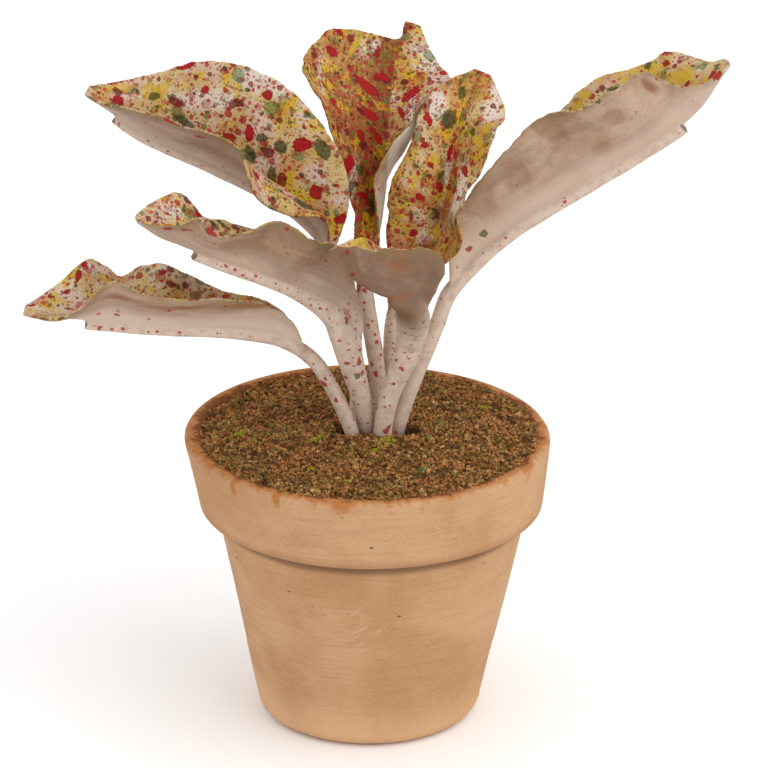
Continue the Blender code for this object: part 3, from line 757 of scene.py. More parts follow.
def mark_places(mesh, sheet_bm, places, finish, seed):
    """Writes on the leaf's vertices which side of the blade they are on, how far along and across from the
    rib, how far in from the edge, and how much they belong to the stalk."""
    tree = BVHTree.FromBMesh(sheet_bm)
    sheet_bm.faces.ensure_lookup_table()
    count = len(mesh.vertices)
    side, stalk = np.zeros(count), np.zeros(count)
    place = np.zeros((count, 4))
    for vert in mesh.vertices:
        spot, normal, face_index, distance = tree.find_nearest(vert.co)
        corners = sheet_bm.faces[face_index].verts
        weights = poly_3d_calc([corner.co for corner in corners], spot)
        place[vert.index] = sum(w * np.array(places[c.index]) for w, c in zip(weights, corners))
        side[vert.index] = (vert.co - spot).dot(normal) / MM / (BLADE_THICKNESS / 2)
        stalk[vert.index] = distance / MM
    rim = smooth_step(0.22, 0.02, place[:, 2])
    set_values(mesh, "paint_side", np.clip(side, -1.0, 1.0) + 0.7 * rim * (np.abs(side) < 0.9))
    u = place[:, 0] / place[:, 0].max()
    bare = smooth_step(finish["bare"] + 0.1, finish["bare"] - 0.1, u) * (finish["bare"] > 0)
    on_stalk = smooth_step(0.24, 0.5, stalk) * smooth_step(finish["fades"] + 0.32, finish["fades"], u)
    set_values(mesh, "stalk", np.maximum(on_stalk, bare))
    set_values(mesh, "along", place[:, 0] + PAINT_SHIFT * seed)
    set_values(mesh, "across", place[:, 1])
    set_values(mesh, "in_from_edge", place[:, 2])
    set_values(mesh, "bulge", place[:, 3])
    # Browner towards the rib and the base: the paint's own ochre, and near the rib painted shade in the
    # crease.
    from_rib = np.exp(-np.abs(place[:, 1]) / finish["reach"])
    left, right = finish["ochre_and_crease_shade"]
    half = smooth_step(-0.15, 0.15, place[:, 1])
    set_values(mesh, "ochre_and_crease_shade", (left + (right - left) * half) * (0.5 + 0.5 * from_rib + 0.3 * (0.5 - u)))
    set_values(mesh, "band", np.full(count, finish["band"]))
    set_values(mesh, "dense", np.full(count, finish["dense"]))
    set_values(mesh, "underside_tan_and_shade", np.full(count, finish["underside_tan_and_shade"]))


def mark_stalk(mesh, path, seed):
    """Writes how far along and round the stalk each vertex lies, in millimetres, with the seam at the back,
    and which vertices are on the stalk's cut end."""
    near = KDTree(len(path))
    for k, (point, _) in enumerate(path):
        near.insert(point, k)
    near.balance()
    step = (path[1][0] - path[0][0]).length
    count = len(mesh.vertices)
    down, round_it, cut = np.zeros(count), np.zeros(count), np.zeros(count)
    end, end_way = cut_end(path)
    for vert in mesh.vertices:
        point = vert.co / MM
        middle, k, distance = near.find(point)
        way = (path[min(k + 1, len(path) - 1)][0] - path[max(k - 1, 0)][0]).normalized()
        front = (FRONT - way * FRONT.dot(way)).normalized()
        off = point - middle
        down[vert.index] = k * step + off.dot(way)
        angle = atan2(off.dot(way.cross(front)), off.dot(front))
        round_it[vert.index] = angle * STALK_GIRTH + copysign(max(0.0, distance - path[k][1]), angle)
        cut[vert.index] = (point - end).dot(end_way) > -0.12 and (point - end).length < 1.0
    set_values(mesh, "stalk_along", down + PAINT_SHIFT * seed)
    set_values(mesh, "stalk_round", round_it)
    set_values(mesh, "cut", cut)


def vertex_values(mesh, name):
    """Three numbers of each vertex, such as its place."""
    values = np.zeros(len(mesh.vertices) * 3)
    mesh.vertices.foreach_get(name, values)
    return values.reshape(-1, 3)


def splash_depth(places, normals, spot, normal, up, length, width, turn):
    """How far inside one oval splash at a spot each vertex lies, in millimetres, below zero outside."""
    lean = Vector((cos(radians(turn)), 0.0, 0.0)) + up * sin(radians(turn))
    first = (lean - normal * lean.dot(normal)).normalized()
    second = normal.cross(first)
    apart = (places - np.array(spot)) / MM
    half_length = length * PICTURE_SCALE / 2
    half_width = width * PICTURE_SCALE / 2
    reach = np.sqrt(
        (apart @ np.array(first) / half_length) ** 2
        + (apart @ np.array(second) / half_width) ** 2
        + (apart @ np.array(normal) / SPLASH_REACH) ** 2
    )
    depth = (1 - reach) * min(half_length, half_width)
    return np.clip(np.where(normals @ np.array(normal) > 0.0, depth, -1.0), -1.0, 1.0)


def mark_splashes(mesh, splashes):
    """Writes how far inside a splash of each colour a vertex lies."""
    places, normals = vertex_values(mesh, "co"), vertex_values(mesh, "normal")
    tree = BVHTree.FromPolygons(
        [v.co for v in mesh.vertices], [p.vertices[:] for p in mesh.polygons], all_triangles=False
    )
    for colour in SPLASH_COLOURS:
        inside = np.full(len(places), -1.0)
        for across, down, *shape in splashes.get(colour, ()):
            eye, way, up = picture_ray(across, down)
            spot, normal, _, _ = tree.ray_cast(eye, way)
            if spot is not None:
                inside = np.maximum(inside, splash_depth(places, normals, spot, normal, up, *shape))
        set_values(mesh, "splash_" + colour, inside)


def leaf_piece(name, leaf, seed, material):
    """A leaf's blade and stalk in one skin, in place of its CAD node."""
    finish = LEAF_FINISH[name]
    bm, places = blade_sheet(leaf, finish, seed)
    sheet = bpy.data.meshes.new(name + "_sheet")
    bm.to_mesh(sheet)
    bm.verts.ensure_lookup_table()
    bm.verts.index_update()
    path = stalk_path(name, leaf)
    mesh = melted_leaf(name, sheet, places, path, finish["melt"])
    mark_places(mesh, bm, places, finish, seed)
    mark_stalk(mesh, path, seed)
    mark_splashes(mesh, SPLASHES[name])
    bm.free()
    mesh.shade_smooth()
    obj = new_object("fine_" + name, mesh, material)
    put_on_plant(obj, name)


# Pot shape

def rounded(outline, bends):
    """A closed outline of (radius, height), each corner cut to an arc of the radius in bends."""
    made = []
    for i, (corner, bend) in enumerate(zip(outline, bends)):
        here = Vector(corner)
        if not bend:
            made.append(here)
            continue
        back = (Vector(outline[i - 1]) - here).normalized()
        on = (Vector(outline[(i + 1) % len(outline)]) - here).normalized()
        half = back.angle(on) / 2
        centre = here + (back + on).normalized() * bend / sin(half)
        reach = bend * cos(half) / sin(half)
        start = (here + back * reach - centre).normalized()
        end = (here + on * reach - centre).normalized()
        for k in range(ROUNDING_STEPS + 1):
            made.append(centre + start.slerp(end, k / ROUNDING_STEPS) * bend)
    return made


def spun(outline, closed, steps):
    """A bmesh turned round the Z axis from an outline of (radius, height)."""
    bm = bmesh.new()
    line = [bm.verts.new((radius * MM, 0.0, height * MM)) for radius, height in outline]
    pairs = list(zip(line, line[1:])) + ([(line[-1], line[0])] if closed else [])
    edges = [bm.edges.new(pair) for pair in pairs]
    bmesh.ops.spin(
        bm, geom=line + edges, cent=(0, 0, 0), axis=(0, 0, 1), angle=2 * pi, steps=steps, use_merge=True
    )
    bmesh.ops.remove_doubles(bm, verts=bm.verts[:], dist=1e-6)
    bmesh.ops.recalc_face_normals(bm, faces=bm.faces[:])
    bm.normal_update()
    return bm


def inner_radius(height):
    """The inside radius of the pot at a height."""
    low, high = FOOT_RADIUS - WALL, RIM_RADIUS - WALL
    return low + (high - low) * (height - FLOOR) / (POT_HEIGHT - FLOOR)


def pot_outline():
    band_bottom = POT_HEIGHT - RIM_HEIGHT
    corners = [
        (inner_radius(POT_HEIGHT), POT_HEIGHT),
        (RIM_RADIUS, POT_HEIGHT),
        (RIM_BOTTOM_RADIUS, band_bottom),
        (NECK_RADIUS, band_bottom),
        (FOOT_RADIUS, 0.0),
        (DRAIN_RADIUS, 0.0),
        (DRAIN_RADIUS, FLOOR),
        (inner_radius(FLOOR), FLOOR),
    ]
    bent = rounded(corners, POT_BENDS)
    outline = []
    for a, b in zip(bent, bent[1:] + bent[:1]):
        hidden = max(a.x, b.x) < inner_radius(max(a.y, b.y)) + 0.3 and max(a.y, b.y) > FLOOR - 0.1
        parts = ceil((b - a).length / (HIDDEN_ROW if hidden else POT_ROW))
        outline += [a.lerp(b, k / parts) for k in range(parts)]
    return [(point.x, point.y) for point in outline]


def askew(point):
    """How far the hand-made pot strays from true at a place on it."""
    share = min(max(point.z / POT_HEIGHT, 0.0), 1.0)
    return Vector((keyed(POT_LEAN, share), 0.0, -RIM_TILT * point.x * float(smooth_step(0.7, 1.0, share))))


def pot_piece(material):
    """The pot, turned finely, with the faint ridges and unevenness of thrown clay."""
    bm = spun(pot_outline(), True, POT_STEPS)
    moves = []
    for vert in bm.verts:
        point = vert.co / MM
        angle = atan2(point.y, point.x)
        round_it = Vector((cos(angle), sin(angle), 0.0))
        line = noise.noise(round_it * 1.3 + Vector((0, 0, point.z / TURNING_SPACING)))
        slow = noise.noise(round_it * 0.8 + Vector((5.0, 0, point.z * 0.06)))
        dent = noise.noise(round_it * 6.0 + Vector((9.0, 0, point.z * 0.5)))
        on_foot = min(1.0, point.z / 0.8)
        move = vert.normal * (TURNING_DEPTH * (line + 0.7 * dent) + OUT_OF_ROUND * slow) * on_foot
        moves.append((move + askew(point)) * MM)
    for vert, move in zip(bm.verts, moves):
        vert.co += move
    obj = new_object("fine_pot", mesh_from(bm, "fine_pot"), material)
    put_on_plant(obj, "pot")


# Soil shape

def soil_height(x, y):
    """The height of the soil's surface at a place on it."""
    edge = inner_radius(POT_HEIGHT)
    share = min(1.0, hypot(x, y) / edge)
    away = hypot(x - STALKS_AT[0], y - STALKS_AT[1])
    height = POT_HEIGHT - SOIL_EDGE_DROP + SOIL_CROWN * (1 - share**2)
    height += MOUND_HEIGHT * exp(-((away - MOUND_RADIUS) / 1.1) ** 2)
    height += LUMP_HEIGHT * noise.noise(Vector((x * 0.55, y * 0.55, 3.0)))
    height += CLOD_HEIGHT * noise.noise(Vector((x * 2.1, y * 2.1, 8.0)))
    for hollow_x, hollow_y, wide, deep in HOLLOWS:
        height -= deep * exp(-((x - hollow_x) ** 2 + (y - hollow_y) ** 2) / wide**2)
    return height


def soil_piece(material):
    """The bed of soil that fills the pot, closed round the stalks."""
    edge = inner_radius(POT_HEIGHT) - SOIL_GAP
    rows = ceil(edge / SOIL_ROW)
    outline = [(edge * k / rows, POT_HEIGHT) for k in range(rows + 1)]
    bottom = FLOOR + SOIL_GAP
    outline += [(inner_radius(bottom) - SOIL_GAP, bottom), (0.0, bottom)]
    bm = spun(outline, False, SOIL_STEPS)
    for vert in bm.verts:
        if vert.co.z > bottom * MM * 1.5:
            vert.co.z = soil_height(vert.co.x / MM, vert.co.y / MM) * MM
    obj = new_object("soil_bed", mesh_from(bm, "soil_bed"), material)
    put_on_plant(obj, "soil")


def crumb_copies(doublings, coarse=False):
    """Many copies of one little ball, or of a plainer one with eight faces, as a bmesh whose vertices come
    in equal runs."""
    bm = bmesh.new()
    if coarse:
        ring = [bm.verts.new(place) for place in ((1, 0, 0), (0, 1, 0), (-1, 0, 0), (0, -1, 0))]
        top, bottom = bm.verts.new((0, 0, 1)), bm.verts.new((0, 0, -1))
        for a, b in zip(ring, ring[1:] + ring[:1]):
            bm.faces.new((a, b, top))
            bm.faces.new((b, a, bottom))
    else:
        bmesh.ops.create_icosphere(bm, subdivisions=1, radius=1.0)
    run = len(bm.verts)
    for _ in range(doublings):
        bmesh.ops.duplicate(bm, geom=bm.verts[:] + bm.edges[:] + bm.faces[:])
    return bm, run


def shaped_crumb(verts, centre, size, draw):
    """Gives one crumb its place, size, turn and rough outline."""
    angle = draw.uniform(0, 2 * pi)
    axis = Vector((draw.gauss(0, 1), draw.gauss(0, 1), draw.gauss(0, 1)))
    turn = Matrix.Rotation(angle, 3, axis)
    stretch = Vector((draw.uniform(0.7, 1.5), draw.uniform(0.6, 1.1), draw.uniform(0.5, 1.0))) * size
    for vert in verts:
        rough = vert.co * draw.uniform(0.62, 1.3)
        vert.co = (centre + turn @ Vector(a * b for a, b in zip(rough, stretch))) * MM


def inside_stalk(x, y):
    """Whether a place on the soil lies in the bunch of stalks."""
    for leaf in LEAVES.values():
        foot = leaf["line"][1]
        if hypot(x - foot[0], y - foot[1]) < FOOT_STALK_RADIUS * 0.9:
            return True
    return False


def in_hollow(x, y):
    """How deep in the hollows round the stalks a place on the soil lies, from 0 to about 1."""
    return sum(exp(-((x - hx) ** 2 + (y - hy) ** 2) / (wide * 1.2) ** 2) for hx, hy, wide, _ in HOLLOWS)


def crumbs_piece(name, size_of_crumb, seed, material):
    """Thousands of loose crumbs of turf all over the soil, some of them on the pot's rim."""
    draw = Random(seed)
    bm, run = crumb_copies(CRUMB_DOUBLINGS, coarse=size_of_crumb < FINE_CRUMB)
    bm.verts.ensure_lookup_table()
    count = len(bm.verts) // run
    tones, kinds, depths = [], [], []
    edge = inner_radius(POT_HEIGHT)
    for k in range(count):
        while True:
            angle = draw.uniform(0, 2 * pi)
            spill = RIM_SPILL * max(0.0, noise.noise(Vector((cos(angle), sin(angle), 4.0)) * 2.2) + 0.15)
            radius = (edge + 0.1 + spill * draw.random()) * draw.random() ** 0.5
            x, y = radius * cos(angle), radius * sin(angle)
            if not inside_stalk(x, y):
                break
        size = size_of_crumb * draw.uniform(0.55, 1.35)
        lift = draw.uniform(-0.04, 0.2)
        shaped_crumb(bm.verts[k * run:(k + 1) * run], Vector((x, y, soil_height(x, y) + lift)), size, draw)
        tones += [draw.random()] * run
        kinds += [noise.noise(Vector((x * 0.5, y * 0.5, 20.0))) + lift] * run
        depths += [in_hollow(x, y) - 0.8 * noise.noise(Vector((x * 0.9, y * 0.9, 30.0)))] * run
    mesh = mesh_from(bm, name, smooth=False)
    set_values(mesh, "tone", tones)
    set_values(mesh, "patch", kinds)
    set_values(mesh, "depth", depths)
    obj = new_object(name, mesh, material)
    put_on_plant(obj)


def flecks_piece(material):
    """Little clusters of bright yellow-green crumbs on the soil, a teal one and a pale grain."""
    draw = Random(FLECK_SEED)
    spots = [(x, y, size, 0.0) for x, y, size in FLECKS] + [(*TEAL_FLECK, 0.5), (*PALE_GRAIN, 1.0)]
    bm, run = crumb_copies(FLECK_DOUBLINGS)
    bm.verts.ensure_lookup_table()
    tones = []
    count = len(bm.verts) // run
    for k in range(count):
        x, y, size, tone = spots[k % len(spots)]
        loose = 0.32 * size if tone == 0.0 else 0.08
        x += draw.gauss(0, loose)
        y += draw.gauss(0, loose)
        centre = Vector((x, y, soil_height(x, y) + 0.16 + draw.uniform(-0.05, 0.12) * size))
        shaped_crumb(bm.verts[k * run:(k + 1) * run], centre, 0.19 * size * draw.uniform(0.6, 1.2), draw)
        tones += [tone + draw.uniform(0.0, 0.3)] * run
    mesh = mesh_from(bm, "turf_flecks", smooth=False)
    set_values(mesh, "tone", tones)
    obj = new_object("turf_flecks", mesh, material)
    put_on_plant(obj)


# Material helpers

def node(tree, kind, inputs=None, **settings):
    """A shader node with its settings and inputs: a socket is linked, anything else is a plain value."""
    made = tree.nodes.new("ShaderNode" + kind)
    for name, value in settings.items():
        setattr(made, name, value)
    for name, value in (inputs or {}).items():
        socket = made.inputs[name]
        if isinstance(value, bpy.types.NodeSocket):
            tree.links.new(value, socket)
        else:
            socket.default_value = value
    return made


def maths(tree, operation, a, b=0.0):
    return node(tree, "Math", {0: a, 1: b}, operation=operation).outputs[0]


def product(tree, a, b):
    return maths(tree, "MULTIPLY", a, b)


def total(tree, a, b):
    return maths(tree, "ADD", a, b)


def less(tree, a, b):
    return maths(tree, "SUBTRACT", a, b)


def shift(tree, vector, offset):
    return node(tree, "VectorMath", {0: vector, 1: offset}, operation="ADD").outputs[0]


def scaled(tree, vector, factors):
    return node(tree, "VectorMath", {0: vector, 1: factors}, operation="MULTIPLY").outputs[0]


def ramped(tree, value, low, high, to_low=0.0, to_high=1.0):
    """The value's soft rise from low to high, as to_low to to_high."""
    made = node(
        tree,
        "MapRange",
        {"Value": value, "From Min": low, "From Max": high, "To Min": to_low, "To Max": to_high},
        interpolation_type="SMOOTHSTEP",
    )
    return made.outputs[0]


def mixed(tree, share, a, b, blend="MIX"):
    made = node(tree, "Mix", {0: share, 6: a, 7: b}, data_type="RGBA", blend_type=blend)
    return made.outputs[2]


def washed(tree, colour, hue, value, low, high, strength=1.0):
    """The colour with a hue laid over it, more and more as the value goes from low to high."""
    return mixed(tree, ramped(tree, value, low, high, 0.0, strength), colour, hue)


def grain(tree, place, scale, detail=2.0, roughness=0.5):
    """Soft noise, from 0 to 1 about 0.5, with its scale in waves a millimetre."""
    made = node(tree, "TexNoise", {"Vector": place, "Scale": scale, "Detail": detail, "Roughness": roughness})
    return made.outputs[0]


def value_of(tree, name):
    return node(tree, "Attribute", attribute_name=name).outputs["Fac"]


def millimetre_place(tree):
    """Object coordinates in millimetres."""
    coordinates = node(tree, "TexCoord").outputs["Object"]
    return scaled(tree, coordinates, (1000.0, 1000.0, 1000.0))


def new_material(name):
    made = bpy.data.materials.new(name)
    made.use_nodes = True
    return made, made.node_tree, made.node_tree.nodes["Principled BSDF"]


def new_group(name, inputs, outputs):
    """A shader node group with named inputs, as (name, kind, value), and outputs, as (name, kind)."""
    group = bpy.data.node_groups.new(name, "ShaderNodeTree")
    for label, kind, value in inputs:
        socket = group.interface.new_socket(label, in_out="INPUT", socket_type="NodeSocket" + kind)
        if value is not None:
            socket.default_value = value
    for label, kind in outputs:
        group.interface.new_socket(label, in_out="OUTPUT", socket_type="NodeSocket" + kind)
    start = group.nodes.new("NodeGroupInput")
    end = group.nodes.new("NodeGroupOutput")
    return group, start.outputs, end.inputs


def placed(tree, group, inputs):
    """A node group placed in a material with its own values."""
    made = tree.nodes.new("ShaderNodeGroup")
    made.node_tree = group
    for name, value in inputs.items():
        if isinstance(value, bpy.types.NodeSocket):
            tree.links.new(value, made.inputs[name])
        else:
            made.inputs[name].default_value = value
    return made.outputs


def spatter_group():
    """Drops of paint of many sizes on a flat place, ragged at the edge. Mask is 1 in a drop, Tone is each
    drop's own number, and Depth runs from 0 at a drop's edge to 1 at its middle."""
    group, give, take = new_group(
        "spatter",
        [
            ("Place", "Vector", None),
            ("Cell", "Float", 1.0),
            ("Least", "Float", 0.1),
            ("Most", "Float", 0.2),
            ("Share", "Float", 0.5),
            ("Ragged", "Float", 0.1),
            ("Seed", "Float", 0.0),
        ],
        [("Mask", "Float"), ("Tone", "Float"), ("Depth", "Float")],
    )
    wobble = node(group, "TexNoise", {"Vector": give["Place"], "Scale": 2.2, "Detail": 2.0}).outputs[1]
    wobble = node(group, "VectorMath", {0: wobble, 1: (0.5, 0.5, 0.5)}, operation="SUBTRACT").outputs[0]
    wobble = node(group, "VectorMath", {0: wobble, "Scale": give["Ragged"]}, operation="SCALE").outputs[0]
    moved = shift(group, shift(group, give["Place"], wobble), give["Seed"])
    per_cell = maths(group, "DIVIDE", 1.0, give["Cell"])
    cells = node(group, "TexVoronoi", {"Vector": moved, "Scale": per_cell}, voronoi_dimensions="2D")
    distance = product(group, cells.outputs["Distance"], give["Cell"])
    draws = node(group, "SeparateColor", {0: cells.outputs["Color"]}).outputs
    small = maths(group, "POWER", draws[0], 2.0)
    spread = less(group, give["Most"], give["Least"])
    radius = total(group, give["Least"], product(group, spread, small))
    depth = less(group, 1.0, maths(group, "DIVIDE", distance, radius))
    there = maths(group, "LESS_THAN", draws[1], give["Share"])
    group.links.new(product(group, ramped(group, depth, 0.0, 0.3), there), take["Mask"])
    group.links.new(draws[2], take["Tone"])
    group.links.new(maths(group, "MAXIMUM", depth, 0.0), take["Depth"])
    return group


# Clay
CLAY_PALE = srgb(191, 151, 112)
CLAY = srgb(178, 134, 94)
CLAY_DARK = srgb(144, 94, 56)
CLAY_SHADE = srgb(78, 46, 28)
CLAY_BLOOM = srgb(194, 162, 128)
CLAY_PAINTED_FOOT_LIGHT = srgb(218, 176, 134)
STAIN = srgb(168, 98, 34)
WET_STAIN = srgb(96, 50, 22)
SCRATCHES_AT = (-0.7, -11.4, 11.7)
SCRATCH_TURN = 0.6
BAND_SHADOW = 1.25

# Soil and turf, as (place on the ramp, colour)
BED_STOPS = [
    (0.3, srgb(58, 38, 20)), (0.45, srgb(96, 66, 36)), (0.55, srgb(118, 84, 46)), (0.7, srgb(104, 92, 44)),
]
CRUMB_STOPS = [
    (0.0, srgb(84, 52, 30)), (0.16, srgb(134, 88, 50)), (0.36, srgb(168, 108, 64)),
    (0.54, srgb(180, 130, 76)), (0.68, srgb(154, 90, 52)), (0.8, srgb(140, 112, 58)),
    (0.9, srgb(198, 156, 104)), (0.97, srgb(120, 120, 52)),
]
FLECK_STOPS = [
    (0.0, srgb(160, 152, 34)), (0.28, srgb(128, 128, 36)), (0.34, srgb(128, 128, 36)),
    (0.48, srgb(58, 112, 80)), (0.82, srgb(66, 120, 88)), (0.96, srgb(206, 204, 196)),
]
TURF_GREEN = srgb(112, 98, 48)
TURF_SHADE = srgb(44, 28, 16)
BED_RELIEF = 0.12
CRUMB_RELIEF = 0.05

# Leaf paint
CREAM = srgb(196, 172, 122)
PINK_WHITE = srgb(202, 178, 160)
PALE = srgb(208, 194, 178)
OCHRE = srgb(176, 130, 50)
BROWN = srgb(112, 64, 20)
CRIMSON = srgb(160, 0, 14)
ROSE = srgb(164, 34, 44)
MAROON = srgb(84, 8, 12)
RUST = srgb(128, 42, 16)
OLIVE = srgb(80, 96, 30)
DARK_GREEN = srgb(30, 42, 12)
SEA_GREEN = srgb(74, 110, 66)
YELLOW = srgb(196, 164, 8)
GRIME = srgb(108, 78, 40)
BLUSH = srgb(180, 152, 130)
TAN = srgb(154, 116, 86)
UMBER = srgb(112, 82, 60)
CHESTNUT_SHADE = srgb(128, 84, 54)
MAUVE = srgb(140, 120, 110)
DRY_EDGE = srgb(128, 108, 60)
STALK_PALE = srgb(203, 182, 165)
STALK_SHADE = srgb(142, 116, 106)
CUT_GREY = srgb(96, 86, 74)


def rag_of(tree, place):
    """How far a splash's outline strays from its oval, in millimetres."""
    wide = less(tree, grain(tree, place, 1.7, 3.0, 0.6), 0.5)
    fine = less(tree, grain(tree, place, 6.5, 2.0), 0.5)
    return total(tree, product(tree, wide, 0.55), product(tree, fine, 0.25))


def splashed(tree, colour, name, hue, dark, strength, rag, mottle):
    """The colour with the large splashes of one paint laid over it, darker round their outlines."""
    depth = total(tree, value_of(tree, "splash_" + name), rag)
    shade = maths(tree, "MAXIMUM", mottle, ramped(tree, depth, 0.16, 0.02, 0.0, 0.6))
    paint = mixed(tree, shade, hue, dark)
    return washed(tree, colour, paint, depth, -0.02, 0.04, strength)


def dripped(tree, spatter, colour, place, drops, dense=None):
    """The colour with layers of drops laid over it, and where the drops stand."""
    thick = None
    for cell, least, most, share, ragged, seed, first, second, strength in drops:
        given = product(tree, dense, share) if dense else share
        out = placed(tree, spatter, {
            "Place": place, "Cell": cell, "Least": least, "Most": most,
            "Share": given, "Ragged": ragged, "Seed": seed,
        })
        hue = mixed(tree, out["Tone"], first, second)
        body = ramped(tree, out["Depth"], 0.5, 0.0, strength * 0.88, min(1.0, strength * 1.1))
        colour = mixed(tree, product(tree, out["Mask"], body), colour, hue)
        thick = out["Mask"] if thick is None else maths(tree, "MAXIMUM", thick, out["Mask"])
    return colour, thick


def spattered_top(tree, spatter, place, flat):
    """The colour of a blade's upper side, and how thick the drops of paint stand on it."""
    ochre_and_crease_shade = value_of(tree, "ochre_and_crease_shade")
    dense = value_of(tree, "dense")
    clouds = grain(tree, place, 0.42, 3.0)
    patches = grain(tree, shift(tree, place, (31.0, 7.0, 3.0)), 0.3, 3.0)
    fine = grain(tree, place, 2.6, 4.0, 0.65)
    dust = grain(tree, place, 8.0, 2.0, 0.6)
    base = washed(tree, CREAM, PINK_WHITE, clouds, 0.44, 0.6)
    whitened = ramped(tree, value_of(tree, "splash_pale"), -0.25, 0.45, 0.0, 0.95)
    golden = ramped(tree, total(tree, patches, product(tree, ochre_and_crease_shade, 0.42)), 0.52, 0.78)
    base = mixed(tree, product(tree, golden, 0.85), base, OCHRE)
    # Browner where this value is high: the paint's own brown, and near the rib painted shade in the crease.
    browned = total(tree, ochre_and_crease_shade, product(tree, less(tree, fine, 0.5), 1.5))
    base = washed(tree, base, BROWN, browned, 0.45, 1.05, 0.85)
    base = washed(tree, base, OCHRE, fine, 0.5, 0.72, 0.3)
    base = washed(tree, base, GRIME, dust, 0.55, 0.7, 0.4)
    base = mixed(tree, whitened, base, PALE)
    hazes = (
        ((3.0, 17.0, 9.0), 0.42, 0.54, 0.62, YELLOW, 0.75),
        ((13.0, 5.0, 27.0), 0.5, 0.56, 0.66, OLIVE, 0.75),
        ((23.0, 11.0, 2.0), 0.5, 0.53, 0.68, ROSE, 0.5),
    )
    for offset, scale, low, high, hue, strength in hazes:
        haze = grain(tree, shift(tree, place, offset), scale, 4.0, 0.7)
        base = washed(tree, base, hue, haze, low, high, strength)
    drops = (
        (2.6, 0.25, 0.6, 0.36, 0.2, 17.0, SEA_GREEN, OLIVE, 0.75),
        (1.7, 0.2, 0.5, 0.45, 0.18, 25.0, ROSE, RUST, 0.6),
        (1.15, 0.1, 0.34, 0.42, 0.12, 29.0, OLIVE, DARK_GREEN, 0.75),
        (0.24, 0.03, 0.085, 0.6, 0.02, 41.0, RUST, MAROON, 0.5),
        (0.36, 0.04, 0.14, 0.65, 0.03, 47.0, CRIMSON, RUST, 0.7),
        (0.6, 0.08, 0.23, 0.6, 0.06, 53.0, ROSE, CRIMSON, 0.9),
        (1.25, 0.16, 0.44, 0.46, 0.14, 67.0, CRIMSON, MAROON, 0.95),
        (0.95, 0.08, 0.24, 0.42, 0.06, 83.0, MAROON, DARK_GREEN, 0.9),
    )
    colour, thick = dripped(tree, spatter, base, flat, drops, dense)
    streaks = ((0.42, 0.06, 0.18, 0.65, 0.05, 97.0, RUST, MAROON, 0.6),)
    streaked, _ = dripped(tree, spatter, colour, scaled(tree, flat, (0.3, 1.0, 1.0)), streaks, ochre_and_crease_shade)
    return streaked, thick


def stray_share(tree):
    """How many drops missed the leaf's upper side, more on the leaves that are thickly spattered."""
    return less(tree, value_of(tree, "dense"), 0.4)


def plain_underside(tree, spatter, place, flat):
    """The colour of a blade's underside: pale and clouded, browner with its own tan and with painted shade on
    shaded leaves and in the dips of its wrinkles, with a few drops that missed.
    """
    underside_tan_and_shade = value_of(tree, "underside_tan_and_shade")
    bulge = value_of(tree, "bulge")
    clouds = grain(tree, place, 0.22, 3.0, 0.55)
    flow = grain(tree, scaled(tree, flat, (0.22, 0.9, 1.0)), 0.8, 4.0, 0.6)
    fine = grain(tree, place, 3.2, 4.0, 0.6)
    colour = washed(tree, BLUSH, TAN, clouds, 0.4, 0.66, 0.6)
    # Browner per leaf and in streaks: partly the underside's own tan, partly painted shade where an underside
    # lies in shade, and lighter where the value is below zero, as painted light on leaf_top.
    tanned = total(tree, underside_tan_and_shade, product(tree, less(tree, flow, 0.5), 1.3))
    colour = washed(tree, colour, UMBER, tanned, 0.1, 1.1)
    colour = washed(tree, colour, MAUVE, flow, 0.5, 0.68, 0.35)
    # Painted shade in the dips between the underside's wrinkles.
    colour = washed(tree, colour, CHESTNUT_SHADE, bulge, 0.0, 0.09, 0.4)
    colour = washed(tree, colour, UMBER, fine, 0.4, 0.75, 0.25)
    from_rib = maths(tree, "ABSOLUTE", value_of(tree, "across"))
    # Paler along the rib: the rib's own colour, and on leaf_top partly painted light on its shaded rolled
    # strip.
    pale_band = product(tree, ramped(tree, from_rib, 3.4, 0.8), value_of(tree, "band"))
    colour = mixed(tree, pale_band, colour, STALK_PALE)
    near_edge = ramped(tree, value_of(tree, "in_from_edge"), 1.2, 0.1, 0.0, 0.45)
    colour = mixed(tree, product(tree, near_edge, ramped(tree, flow, 0.3, 0.6)), colour, DRY_EDGE)
    drops = (
        (1.9, 0.08, 0.24, 0.3, 0.08, 11.0, CRIMSON, ROSE, 0.9),
        (2.6, 0.12, 0.28, 0.25, 0.1, 23.0, OLIVE, OLIVE, 0.5),
        (0.9, 0.03, 0.09, 0.3, 0.02, 37.0, MAROON, RUST, 0.7),
    )
    return dripped(tree, spatter, colour, flat, drops, stray_share(tree))[0]


def spotted_stalk(tree, spatter, place):
    """The colour of a stalk: pale, greyer at the foot, with small crimson drops and a dark cut end."""
    fine = grain(tree, place, 1.4, 3.0)
    dust = grain(tree, place, 6.0, 3.0, 0.6)
    colour = washed(tree, STALK_PALE, TAN, fine, 0.4, 0.72, 0.35)
    colour = washed(tree, colour, UMBER, dust, 0.5, 0.75, 0.25)
    height = node(tree, "SeparateXYZ", {0: place}).outputs[2]
    foot = total(tree, height, product(tree, fine, 2.0))
    colour = washed(tree, colour, STALK_SHADE, foot, 27.2, 25.0, 0.7)
    along, round_it = value_of(tree, "stalk_along"), value_of(tree, "stalk_round")
    wall = node(tree, "CombineXYZ", {0: along, 1: round_it, 2: 0.0}).outputs[0]
    drops = (
        (0.5, 0.04, 0.12, 0.6, 0.1, 61.0, CRIMSON, MAROON, 0.9),
        (0.9, 0.08, 0.21, 0.6, 0.15, 65.0, CRIMSON, ROSE, 0.95),
        (2.4, 0.14, 0.34, 0.45, 0.25, 71.0, CRIMSON, CRIMSON, 0.97),
        (1.9, 0.12, 0.28, 0.3, 0.1, 79.0, OLIVE, OLIVE, 0.6),
    )
    colour = dripped(tree, spatter, colour, wall, drops, stray_share(tree))[0]
    return washed(tree, colour, CUT_GREY, value_of(tree, "cut"), 0.3, 0.8, 0.85)


